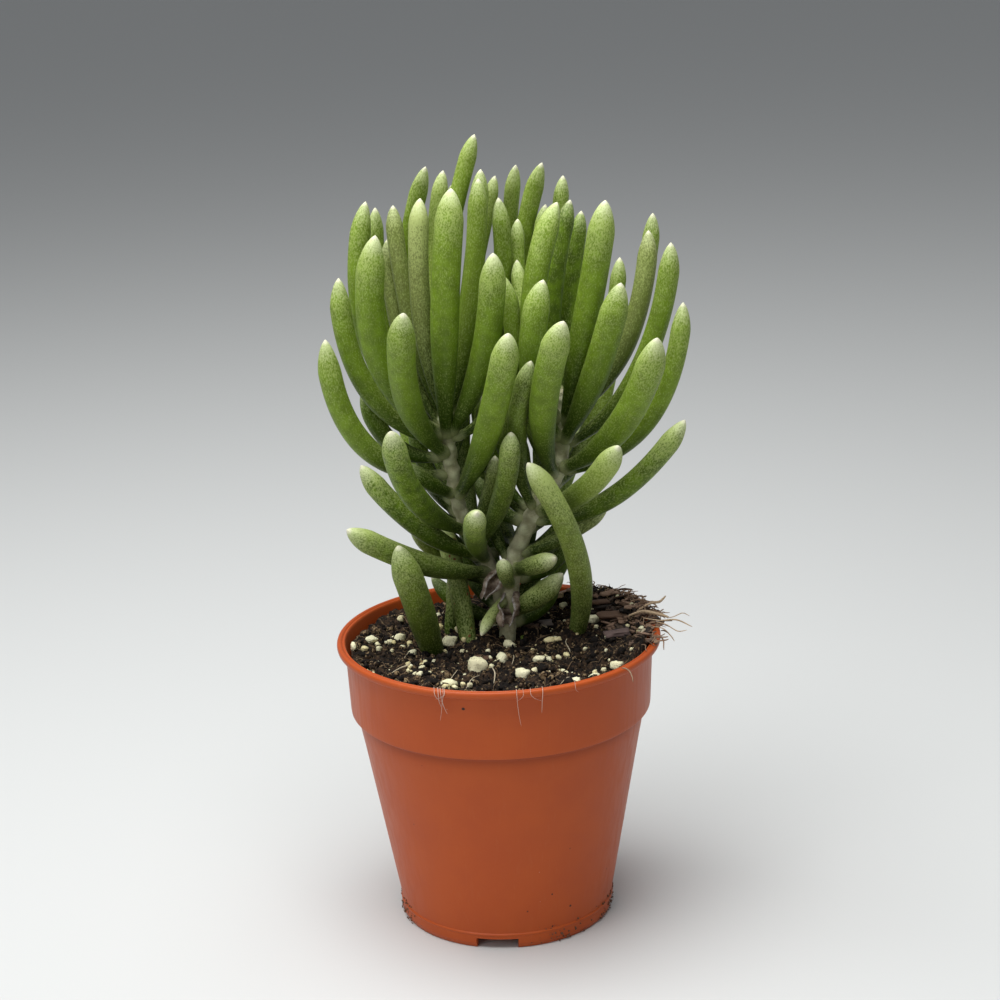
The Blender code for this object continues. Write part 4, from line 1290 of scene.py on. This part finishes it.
class SenecioLeafSettings(bpy.types.PropertyGroup):
    """Sizes and colours of the leaves and stems."""

    sides: IntProperty(name="Sides", description="Faces round a leaf", default=28, min=6, max=64)
    rings: IntProperty(name="Rings", description="Rings along a leaf", default=58, min=12, max=120)
    green: colour_setting("Green", "Middle of a fresh leaf", (0.135, 0.235, 0.006))
    # Deep green is the dark end of the leaves' mottle and also their painted shade towards the root
    deep_green_and_shade: colour_setting("Deep green", "Lower part of a leaf", (0.024, 0.050, 0.001))
    pale_green: colour_setting("Pale green", "Lit and young leaves", (0.29, 0.41, 0.045))
    dull_green: colour_setting("Dull green", "Older and shaded leaves", (0.19, 0.20, 0.07))
    meal: colour_setting("Meal", "Silvery felt on the skin", (0.58, 0.68, 0.24))
    tip: colour_setting("Tip", "Whitish tip of a leaf", (0.72, 0.78, 0.46))
    point: colour_setting("Point", "The very end of a leaf", (0.74, 0.72, 0.54))
    root: colour_setting("Root", "Tan root of a leaf", (0.42, 0.44, 0.23))
    bark: colour_setting("Bark", "Light parts of the stems", (0.58, 0.56, 0.36))
    bark_dark: colour_setting("Dark bark", "Cracks of the stems", (0.30, 0.28, 0.16))
    scar: colour_setting("Scar", "Knobs where leaves leave the stem", (0.64, 0.65, 0.43))
    meal_cover: FloatProperty(name="Meal cover", description="How much the meal hides", default=1.0,
                              min=0, max=2)
    roughness: FloatProperty(name="Roughness", description="Roughness of bare skin", default=0.46,
                             min=0, max=1, subtype="FACTOR")


class SenecioPotSettings(bpy.types.PropertyGroup):
    """Sizes and colours of the pot."""

    sides: IntProperty(name="Sides", description="Columns round the pot", default=180, min=24, max=360)
    plastic: colour_setting("Plastic", "Colour of the pot", (0.46, 0.082, 0.014))
    shade: colour_setting("Shade", "Darker colour of the pot", (0.43, 0.074, 0.014))
    dust: colour_setting("Dust", "Dust on the pot", (0.47, 0.14, 0.06))
    roughness: FloatProperty(name="Roughness", description="Roughness of the plastic", default=0.42,
                             min=0, max=1, subtype="FACTOR")


class SenecioSoilSettings(bpy.types.PropertyGroup):
    """Sizes and colours of the soil and what lies in it."""

    cells: IntProperty(name="Cells", description="Cells across the soil's surface", default=281,
                       min=40, max=300)
    crumbs: IntProperty(name="Crumbs", description="Loose crumbs of peat", default=CRUMBS, min=0, max=3500)
    fibres: IntProperty(name="Fibres", description="Loose fibres", default=170, min=0, max=600)
    flakes: IntProperty(name="Flakes", description="Bark flakes on the heap", default=190, min=1, max=600)
    tuft: IntProperty(name="Tuft", description="Fibres that stand out of the heap", default=130,
                      min=1, max=300)
    spare_grains: IntProperty(name="Spare grains", description="Perlite grains beside those placed by hand",
                              default=230, min=0, max=400)
    peat: colour_setting("Peat", "Light parts of the peat", (0.052, 0.030, 0.016))
    peat_dark: colour_setting("Dark peat", "Dark parts of the peat", (0.007, 0.005, 0.004))
    fleck: colour_setting("Fleck", "Tan flecks in the peat", (0.27, 0.19, 0.10))
    perlite: colour_setting("Perlite", "Colour of the grains", (0.88, 0.85, 0.58))
    perlite_tint: colour_setting("Perlite tint", "Colour of the stained grains", (0.70, 0.60, 0.30))


class SenecioStageSettings(bpy.types.PropertyGroup):
    """Floor and light."""

    floor: colour_setting("Floor", "Colour of the floor", (0.62, 0.63, 0.62))
    top_light: FloatProperty(name="Top light", description="Power of the light above", default=22.0,
                             min=0, unit="POWER")
    front_light: FloatProperty(name="Front light", description="Power of the light in front", default=4.0,
                               min=0, unit="POWER")
    sky: FloatProperty(name="Surroundings", description="Strength of the even light all round",
                       default=0.25, min=0, max=4)


# The operators, one for each piece or group of like pieces

class SENECIO_OT_pot(bpy.types.Operator):
    """Turns the pot's section, notches the foot and bores the drain holes"""

    bl_idname = "senecio.pot"
    bl_label = "Pot"

    def execute(self, context):
        settings = context.scene.senecio_pot
        points, faces = pot_points(settings)
        pot = make_piece("pot_shell", points, faces, plastic_material(settings), ("pot",))
        merge_close(pot)
        cut_drains(pot)
        pot.data.shade_smooth()
        pot.data.set_sharp_from_angle(angle=np.radians(SHARP_FROM))
        return {"FINISHED"}


class SENECIO_OT_soil(bpy.types.Operator):
    """Lays the lumpy soil over the pot's inside, down to its floor"""

    bl_idname = "senecio.soil"
    bl_label = "Soil"

    def execute(self, context):
        settings = context.scene.senecio_soil
        points, faces = soil_mesh(settings.cells)
        soil = make_piece("soil_surface", points, faces, peat_material("peat", settings),
                          ("soil",), {"shade": np.full(len(points), 1.0)})
        merge_close(soil)
        return {"FINISHED"}


class SENECIO_OT_crumbs(bpy.types.Operator):
    """Strews peat crumbs over the soil"""

    bl_idname = "senecio.crumbs"
    bl_label = "Crumbs"

    def execute(self, context):
        settings = context.scene.senecio_soil
        count = settings.crumbs
        rng = np.random.default_rng(CRUMB_SEED)
        places = scattered(count, rng)
        sizes = (0.7 + 3.4 * rng.uniform(0, 1, (count, 1)) ** 4) * rng.uniform(0.5, 1.3, (count, 3))
        places[:, 2] += 0.15 * sizes[:, 2]
        points, faces = lump_points(places, sizes, rng.uniform(0, TURN, (count, 3)), rng,
                                    sides=6, rings=3, uneven=0.2)
        make_bits("peat_crumbs", points, faces, peat_material("peat_crumb", settings),
                  rng.uniform(0.4, 1.7, count))
        return {"FINISHED"}


class SENECIO_OT_perlite(bpy.types.Operator):
    """Sets perlite grains where the picture shows them, and others by seeded draws"""

    bl_idname = "senecio.perlite"
    bl_label = "Perlite"

    def execute(self, context):
        settings = context.scene.senecio_soil
        rng = np.random.default_rng(PERLITE_SEED)
        rows = PERLITE + PINK_GRAINS
        placed = np.array([on_soil(*row[:2]) for row in rows])
        wide = np.array([row[2:] for row in rows])
        spare = scattered(settings.spare_grains, rng)
        coarse = np.where(spare[:, 1:2] > 20, 3.2, 2.4)
        small = 0.5 + coarse * rng.uniform(0, 1, (len(spare), 1)) ** 2 * np.ones((1, 2))
        centres = np.vstack([placed, spare])
        wide = np.vstack([wide, small])
        sizes = np.column_stack([wide[:, 0], 0.5 * wide.sum(1), np.maximum(wide[:, 1], 0.6 * wide[:, 0])])
        centres[:, 2] += 0.22 * sizes[:, 2]
        angles = rng.uniform(-0.25, 0.25, (len(centres), 3))
        angles[:, 0] += rng.uniform(0, 0.3, len(centres))
        points, faces = lump_points(centres, sizes, angles, rng, sides=14, rings=8, boxy=0.12, uneven=0.13)
        tint = rng.uniform(0, 0.35, len(centres))
        tint[len(rows):] = rng.uniform(0, 1, len(spare))
        tint[len(PERLITE):len(rows)] = 0.8
        make_bits("perlite_grains", points, faces, perlite_material(settings), tint)
        return {"FINISHED"}


class SENECIO_OT_bark(bpy.types.Operator):
    """Lays bark chips of five colours on the soil where the picture shows them"""

    bl_idname = "senecio.bark"
    bl_label = "Bark chips"

    def execute(self, context):
        rng = np.random.default_rng(CHIP_SEED)
        for kind, colours in CHIP_COLOURS.items():
            rows = [row for row in BARK_CHIPS if row[4] == kind]
            centres = np.array([on_soil(*row[:2]) for row in rows])
            sizes = np.array([(row[2], row[3] * 1.6, max(1.4, row[3] * 0.55)) for row in rows])
            centres[:, 2] += 0.4 * sizes[:, 2]
            angles = rng.uniform(-0.35, 0.35, (len(rows), 3))
            points, faces = lump_points(centres, sizes, angles, rng, sides=18, rings=9, boxy=0.5,
                                        uneven=0.12)
            material = earth_material("bark_" + kind, colours, roughness=0.75, grain=0.8)
            make_bits("bark_chips_" + kind, points, faces, material, 1.2)
        return {"FINISHED"}


def heap_places(count, rng, nearest=50.0):
    """Places on the loose heap at the right, from the soil up and out over the lip."""
    turn = rng.normal(HEAP_MIDDLE, HEAP_SPILL, count)
    away = rng.uniform(nearest, LIP_RADIUS + 0.3, count)
    way = np.stack([np.cos(np.radians(turn)), np.sin(np.radians(turn))], 1)
    inside = way * np.minimum(away, SOIL_EDGE - 0.5)[:, None]
    spilled = np.clip((away - 59) / 8, 0, 1)
    level = (1 - spilled) * soil_top(*inside.T) + spilled * (POT_HEIGHT + 0.5)
    crown = rng.uniform(0, 2.6, count) * np.exp(-(((turn - HEAP_MIDDLE) / 22) ** 2))
    crown = crown * np.sin(np.pi * np.clip((away - 48) / 24, 0, 1))
    return np.column_stack([way * away[:, None], level + crown])


def heap_flakes(count, rng):
    """Flat flakes of bark on the heap, shorter out on the lip, as points, faces and shades."""
    centres = heap_places(count, rng)
    shorten = np.where(np.hypot(*centres[:, :2].T) > SOIL_EDGE + 1, 0.75, 1.0)
    long = rng.uniform(2.5, 9.5, count) * shorten
    sizes = np.stack([long, long * rng.uniform(0.22, 0.5, count), rng.uniform(0.6, 1.3, count)], 1)
    angles = rng.uniform(-0.6, 0.6, (count, 3))
    angles[:, 0] = rng.uniform(0, TURN, count)
    points, faces = lump_points(centres, sizes, angles, rng, sides=10, rings=6, boxy=0.45, uneven=0.16)
    return points, faces, 0.2 + 1.8 * rng.uniform(0, 1, count) ** 2


def tuft_paths(count, rng):
    """Fibres that stand out of the heap: they wander, rise and droop, and stay above the lip."""
    start = heap_places(count, rng, nearest=TUFT_START)
    start[:, 2] += 0.6
    turn = np.arctan2(start[:, 1], start[:, 0]) + rng.normal(-0.35, 0.9, count)
    heading = turn[:, None] + np.cumsum(rng.normal(0, WANDER, (count, FIBRE_PLACES)), 1)
    step = rng.uniform(3, 11, (count, 1)) / FIBRE_PLACES
    x = np.minimum(start[:, :1] + np.cumsum(step * np.cos(heading), 1), HEAP_REACH)
    y = start[:, 1:2] + np.cumsum(step * np.sin(heading), 1)
    t = np.linspace(0, 1, FIBRE_PLACES)
    z = start[:, 2:] + rng.uniform(0, 3.5, (count, 1)) * t - rng.uniform(0.5, 6.0, (count, 1)) * t**2
    z = np.maximum(z, np.where(np.hypot(x, y) < LIP_RADIUS + 1, POT_HEIGHT + 0.4, 0))
    return np.stack([x, y, z], -1)


class SENECIO_OT_heap(bpy.types.Operator):
    """Piles bark flakes and fibres over the lip at the right"""

    bl_idname = "senecio.heap"
    bl_label = "Heap on the lip"

    def execute(self, context):
        settings = context.scene.senecio_soil
        rng = np.random.default_rng(HEAP_SEED)
        points, faces, shades = heap_flakes(settings.flakes, rng)
        flake = earth_material("bark_flake", FLAKE_COLOURS, grain=0.7)
        make_bits("bark_flakes", points, faces, flake, shades)
        paths = tuft_paths(settings.tuft, rng)
        points, faces = tapered(paths, rng.uniform(0.25, 0.75, settings.tuft))
        tuft = earth_material("tuft", TUFT_COLOURS, grain=0.5)
        make_bits("heap_tuft", points, faces, tuft, rng.uniform(0.4, 1.6, settings.tuft))
        roots = np.array([smooth_curve(points, 24) for points, _ in HEAP_ROOTS])
        points, faces = tapered(roots, [thick for _, thick in HEAP_ROOTS], 7)
        pale = earth_material("heap_root", HEAP_ROOT_COLOURS, grain=0.5)
        make_bits("heap_roots", points, faces, pale, 1.1)
        return {"FINISHED"}


def fibre_paths(count, rng, places=FIBRE_PLACES):
    """Fibres that wander over the soil: a start, a heading that drifts, and a low hump."""
    start = scattered(count, rng)
    heading = rng.uniform(0, TURN, (count, 1)) + np.cumsum(rng.normal(0, WANDER, (count, places)), 1)
    length = rng.uniform(3, 13, (count, 1)) / places
    x = start[:, :1] + np.cumsum(length * np.cos(heading), 1)
    y = start[:, 1:2] + np.cumsum(length * np.sin(heading), 1)
    inside = np.minimum(1, (SOIL_EDGE - 1.2) / np.hypot(x, y))
    x, y = x * inside, y * inside
    t = np.linspace(0, 1, places)
    hump = rng.uniform(0.1, 1.3, (count, 1)) * 4 * t * (1 - t)
    return np.stack([x, y, soil_top(x, y) + hump + 0.2], -1)


def tapered(paths, thickness, sides=5):
    """Tubes that thin to a third at both ends, as points and faces."""
    k, n = paths.shape[:2]
    t = np.linspace(0, 1, n)
    radii = np.reshape(thickness, (-1, 1)) / 2 * (0.35 + 0.65 * np.sin(np.pi * t) ** 0.5)
    radii = np.repeat(np.broadcast_to(radii, (k, n))[..., None], sides, 2)
    faced = np.cross(paths[:, -1] - paths[:, 0], (0.3, 0.2, 1.0))
    grid = tube_points(paths, radii, unit(faced))
    return with_poles(grid, paths[:, 0], paths[:, -1]), tube_faces(k, n, sides)


class SENECIO_OT_fibres(bpy.types.Operator):
    """Spreads loose fibres over the soil and roots where the picture shows them"""

    bl_idname = "senecio.fibres"
    bl_label = "Fibres and roots"

    def execute(self, context):
        settings = context.scene.senecio_soil
        rng = np.random.default_rng(FIBRE_SEED)
        paths = fibre_paths(settings.fibres, rng)
        points, faces = tapered(paths, rng.uniform(0.18, 0.45, settings.fibres))
        fibre = earth_material("fibre", FIBRE_COLOURS, grain=0.5)
        make_bits("soil_fibres", points, faces, fibre, rng.uniform(0.3, 1.8, settings.fibres))
        roots = []
        for pixels, _ in SURFACE_ROOTS:
            way = np.array([on_soil(*pixel) for pixel in pixels])
            way[:, 2] += (0.4, *np.full(len(way) - 2, 1.2), 0.5)
            roots.append(smooth_curve(way, 16))
        points, faces = tapered(np.array(roots), [0.7 * thick for _, thick in SURFACE_ROOTS], 7)
        make_bits("surface_roots", points, faces, earth_material("root", ROOT_COLOURS, grain=0.5), 1.2)
        return {"FINISHED"}


class SENECIO_OT_stems(bpy.types.Operator):
    """Grows the two woody stems with a knob under each leaf"""

    bl_idname = "senecio.stems"
    bl_label = "Stems"

    def execute(self, context):
        settings = context.scene.senecio_leaves
        leaves = grown_leaves()
        for name in STEMS:
            own = [leaf for leaf in leaves if leaf.owner == name]
            points, faces, scar = stem_points(name, own)
            make_piece("stem_" + name, points, faces, bark_material(settings),
                       ("leafy_stem_" + name,), {"scar": scar})
        return {"FINISHED"}


def stem_points(name, leaves, rings=220, sides=36):
    """A stem's skin: its radius, plus a knob at each leaf's root and at old scars between them.

    A knob is a product of two bells, one along the stem and one round it.
    """
    points, radius = STEMS[name]
    path = smooth_curve(points, rings)
    ahead = unit(np.gradient(path, axis=0))
    faced = unit(np.cross(ahead, (0.0, 1.0, 0.0)))
    across = np.cross(ahead, faced)
    along = np.concatenate([[0], np.cumsum(np.linalg.norm(np.diff(path, axis=0), axis=1))])
    rng = np.random.default_rng(STEM_SEED)
    knobs = []
    for leaf in leaves:
        way = leaf.line(np.array([0.0, 0.08]))
        near = np.argmin(np.linalg.norm(path - way[0], axis=1))
        reach = way[1] - way[0]
        knobs.append((along[near] + 1.0, np.arctan2(reach @ across[near], reach @ faced[near]), 0.9))
    for k in range(46):
        knobs.append((along[-1] * (0.22 + 0.72 * k / 46), k * 2.4 + rng.uniform(-0.4, 0.4),
                      rng.uniform(0.15, 0.4)))
    u = np.arange(sides) * TURN / sides
    swell = np.zeros((rings, sides))
    for middle, turn, rise in knobs:
        apart = (u - turn + np.pi) % TURN - np.pi
        bell = np.exp(-(((along - middle) / 1.9) ** 2))[:, None] * np.exp(-((apart / 0.62) ** 2))
        swell = swell + rise * bell
    slow = 0.12 * np.sin(along * 1.9)[:, None] + 0.1 * np.sin(3 * u + along[:, None] * 0.2)
    taper = radius * np.linspace(1.08, 0.92, rings)[:, None]
    radii = taper * 0.96 + np.minimum(swell, 1.5) + slow * 0.6
    grid = tube_points(path[None], radii[None], np.array([[1.0, 0.0, 0.0]]))
    scar = np.clip(swell, 0, 1)
    scar = with_poles(scar[None, ..., None], np.zeros((1, 1)), np.zeros((1, 1)))[:, 0]
    return with_poles(grid, path[:1], path[-1:]), tube_faces(1, rings, sides), scar


class SENECIO_OT_leaves(bpy.types.Operator):
    """Grows the leaves of both stems and those that stand in the soil"""

    bl_idname = "senecio.leaves"
    bl_label = "Leaves"

    def execute(self, context):
        settings = context.scene.senecio_leaves
        leaves = grown_leaves()
        rng = np.random.default_rng(LEAF_SEED)
        green = leaf_material("leaf_green", settings)
        mealy = leaf_material("leaf_mealy", settings)
        specked = leaf_material("leaf_specked", settings, red_specks=True)
        for name in (*STEMS, *SOIL_LEAVES):
            own = [leaf for leaf in leaves if leaf.owner == name and leaf.tone != "dried"]
            points, attributes = leaf_points(own, settings.sides, settings.rings, rng)
            faces = tube_faces(len(own), settings.rings, settings.sides)
            if name in STEMS:
                make_piece("leaves_" + name, points, faces, green,
                           ("leafy_stem_" + name,), attributes)
            else:
                skin = specked if name == "soil_leaf_speckled" else mealy
                make_piece("fine_" + name, points, faces, skin, (name,), attributes)
        inner = inner_leaves(leaves)
        points, attributes = leaf_points(inner, INNER_SIDES, INNER_RINGS, rng)
        make_piece("leaves_inner", points, tube_faces(len(inner), INNER_RINGS, INNER_SIDES), green,
                   (), attributes)
        return {"FINISHED"}


def curled_points(leaf, width, rng, rings=40, sides=34):
    """A dried leaf: a sheet rolled about the leaf's line, open along one side and crumpled.

    Round the roll the angle goes from -w to w, and the radius shrinks towards both rims, so that
    they curl in. Slow sines of both parameters crumple it.
    """
    t = np.linspace(0.03, 1, rings)
    path = leaf.line(t)
    ahead = unit(np.gradient(path, axis=0))
    faced = unit(np.cross(ahead, SIGHT))
    across = np.cross(ahead, faced)
    w = np.linspace(-1, 1, sides)
    shape = width / 2 * (0.35 + 0.65 * np.sin(np.pi * np.clip(t * 0.85 + 0.1, 0, 1)))
    angle = -np.pi / 2 + 2.1 * w[None, :] + 0.6 * np.sin(5 * t[:, None])
    phase = rng.uniform(0, TURN, 4)
    crumple = (0.16 * np.sin(5 * w[None] + 6 * t[:, None] + phase[0])
               + 0.14 * np.sin(11 * t[:, None] + 3 * w[None] + phase[1])
               + 0.08 * np.sin(17 * t[:, None] - 7 * w[None] + phase[2]))
    radii = shape[:, None] * (1 - 0.45 * np.abs(w[None]) ** 2.5) * (1 + crumple)
    points = (path[:, None] + radii[..., None] * (np.cos(angle)[..., None] * faced[:, None]
                                                  + np.sin(angle)[..., None] * across[:, None]))
    rim = np.clip((np.abs(w)[None] - 0.86) / 0.1, 0, 1) * np.ones((rings, 1))
    i, j = np.meshgrid(np.arange(rings - 1), np.arange(sides - 1), indexing="ij")
    first = (i * sides + j).ravel()
    faces = np.stack([first, first + 1, first + sides + 1, first + sides], 1).tolist()
    return points.reshape(-1, 3), faces, rim.ravel()


class SENECIO_OT_dried(bpy.types.Operator):
    """Hangs the two dried, rolled leaves at the foot of the right stem"""

    bl_idname = "senecio.dried"
    bl_label = "Dried leaves"

    def execute(self, context):
        leaves = [leaf for leaf in grown_leaves() if leaf.tone == "dried"]
        rng = np.random.default_rng(STEM_SEED)
        material = dried_material()
        for k, (leaf, width) in enumerate(zip(leaves, DRIED_WIDTHS)):
            points, faces, rim = curled_points(leaf, width, rng)
            dried = make_piece(f"dried_leaf_{k}", points, faces, material,
                               ("leafy_stem_right",), {"rim": rim})
            skin = dried.modifiers.new("skin", "SOLIDIFY")
            skin.thickness = DRIED_SHEET * MM
            skin.offset = 0
        return {"FINISHED"}


def lip_root_paths():
    """Each root comes up out of the soil, passes over the lip and hangs down, drifting sideways."""
    paths = []
    for x, drop, drift, _ in LIP_ROOTS:
        stations = (
            (x - 1.5, 57.0, SOIL_LEVEL + 1.5), (x - 0.5, 62.0, SOIL_LEVEL + 4.0),
            (x, LIP_RADIUS - 2.5, POT_HEIGHT + LIP_CLEAR),
            (x + 0.2, LIP_RADIUS + LIP_CLEAR, POT_HEIGHT - 1.2),
            (x + 0.3 * drift, LIP_RADIUS + 0.2, POT_HEIGHT - 1.5 - drop * 0.35),
            (x + 0.6 * drift, LIP_RADIUS - 1.2, POT_HEIGHT - 1.5 - drop * 0.7),
            (x + drift, LIP_RADIUS - 2.0, POT_HEIGHT - 1.5 - drop),
        )
        way = np.array([(sx, -np.sqrt(max(r * r - sx * sx, 0)), z) for sx, r, z in stations])
        paths.append(smooth_curve(way, 34))
    return np.array(paths)


class SENECIO_OT_lip_roots(bpy.types.Operator):
    """Hangs the fine roots over the pot's lip"""

    bl_idname = "senecio.lip_roots"
    bl_label = "Lip roots"

    def execute(self, context):
        points, faces = tapered(lip_root_paths(), [row[3] for row in LIP_ROOTS], 6)
        material = earth_material("fine_root", FINE_ROOT_COLOURS, grain=0.4)
        make_bits("lip_roots", points, faces, material, 1.1)
        return {"FINISHED"}


class SENECIO_OT_dirt(bpy.types.Operator):
    """Sticks crumbs of dirt round the pot's foot"""

    bl_idname = "senecio.dirt"
    bl_label = "Foot dirt"

    def execute(self, context):
        rng = np.random.default_rng(SPECK_SEED)
        count = DIRT_CRUMBS
        middle = np.radians(rng.choice(DIRT_TURNS, count))
        turn = middle + rng.normal(0, 0.14, count)
        low = rng.uniform(0, 1, count) ** 1.5
        radius = np.where(low < 0.55, FOOT_RADIUS, BASE_RADIUS + 0.4)
        height = np.where(low < 0.55, 5.6 * rng.uniform(0.1, 1, count), FOOT_HEIGHT + 0.4 + 2 * low**3)
        centres = np.stack([radius * np.cos(turn), radius * np.sin(turn), height], 1)
        sizes = rng.uniform(0.25, 0.95, (count, 1)) * rng.uniform(0.6, 1.3, (count, 3))
        points, faces = lump_points(centres, sizes, rng.uniform(0, TURN, (count, 3)), rng, 6, 3)
        make_bits("foot_dirt", points, faces, earth_material("foot_dirt", DIRT_COLOURS), 1.0)
        return {"FINISHED"}


class SENECIO_OT_stage(bpy.types.Operator):
    """Sets the floor, the soft lights and the camera"""

    bl_idname = "senecio.stage"
    bl_label = "Stage"

    def execute(self, context):
        settings = context.scene.senecio_stage
        bpy.ops.mesh.primitive_circle_add(vertices=96, radius=6.0, fill_type="NGON")
        floor = context.active_object
        floor.name = "floor"
        material, tree, shader = new_material("floor")
        paint(tree, shader, (*settings.floor, 1.0), 0.7)
        floor.data.materials.append(material)
        world = bpy.data.worlds.new("surroundings")
        world.use_nodes = True
        sky = world.node_tree.nodes["Background"]
        sky.inputs["Color"].default_value = (*SKY_COLOUR, 1.0)
        sky.inputs["Strength"].default_value = settings.sky
        context.scene.world = world
        add_light("top_light", (-0.16, -0.10, 1.25), (0.0, 0.0, 0.2), 1.0, settings.top_light)
        add_light("front_light", (-0.9, -1.2, 0.8), (0.0, 0.0, 0.15), 0.9, settings.front_light)
        add_camera(context.scene)
        context.scene.view_settings.view_transform = "Standard"
        return {"FINISHED"}


def add_camera(scene):
    """The camera of the picture, which EYE, PITCH, ROLL and FOCAL give."""
    camera = bpy.data.cameras.new("camera")
    camera.sensor_width = SENSOR
    camera.lens = FOCAL * SENSOR
    camera.clip_start = 0.05
    eye = bpy.data.objects.new("camera", camera)
    place = Matrix.Translation([(EYE[0] + SHIFT_X) * MM, EYE[1] * MM, EYE[2] * MM])
    eye.matrix_world = place @ camera_turn().to_4x4()
    scene.collection.objects.link(eye)
    scene.camera = eye


def add_light(name, place, aim, size, power):
    """A square soft light that faces aim."""
    light = bpy.data.lights.new(name, "AREA")
    light.size = size
    light.energy = power
    lamp = bpy.data.objects.new(name, light)
    way = np.array(aim) - np.array(place)
    turn = Matrix.Identity(4)
    back = unit(-way)
    right = unit(np.cross((0.0, 1.0, 0.001), back))
    up = np.cross(back, right)
    for column, axis in enumerate((right, up, back)):
        for row in range(3):
            turn[row][column] = axis[row]
    lamp.matrix_world = Matrix.Translation(place) @ turn
    bpy.context.scene.collection.objects.link(lamp)


class SENECIO_PT_panel(bpy.types.Panel):
    """Lists the pieces in the 3D view's sidebar"""

    bl_label = "Potted senecio"
    bl_idname = "SENECIO_PT_panel"
    bl_space_type = "VIEW_3D"
    bl_region_type = "UI"
    bl_category = "Senecio"

    def draw(self, context):
        for operator in OPERATORS:
            self.layout.operator(operator.bl_idname)
        for name in SETTINGS:
            group = getattr(context.scene, name)
            box = self.layout.box()
            for key in group.bl_rna.properties.keys():
                if key not in ("rna_type", "name"):
                    box.prop(group, key)


OPERATORS = (
    SENECIO_OT_pot, SENECIO_OT_soil, SENECIO_OT_crumbs, SENECIO_OT_perlite, SENECIO_OT_bark,
    SENECIO_OT_heap, SENECIO_OT_fibres, SENECIO_OT_stems, SENECIO_OT_leaves, SENECIO_OT_dried,
    SENECIO_OT_lip_roots, SENECIO_OT_dirt, SENECIO_OT_stage,
)
SETTINGS = {
    "senecio_leaves": SenecioLeafSettings,
    "senecio_pot": SenecioPotSettings,
    "senecio_soil": SenecioSoilSettings,
    "senecio_stage": SenecioStageSettings,
}


def register():
    for group in SETTINGS.values():
        bpy.utils.register_class(group)
    for name, group in SETTINGS.items():
        setattr(bpy.types.Scene, name, PointerProperty(type=group))
    for operator in OPERATORS:
        bpy.utils.register_class(operator)
    bpy.utils.register_class(SENECIO_PT_panel)


def unregister():
    bpy.utils.unregister_class(SENECIO_PT_panel)
    for operator in reversed(OPERATORS):
        bpy.utils.unregister_class(operator)
    for name, group in SETTINGS.items():
        delattr(bpy.types.Scene, name)
        bpy.utils.unregister_class(group)


def main():
    register()
    for operator in OPERATORS:
        group, action = operator.bl_idname.split(".")
        getattr(getattr(bpy.ops, group), action)()


if __name__ == "__main__":
    main()
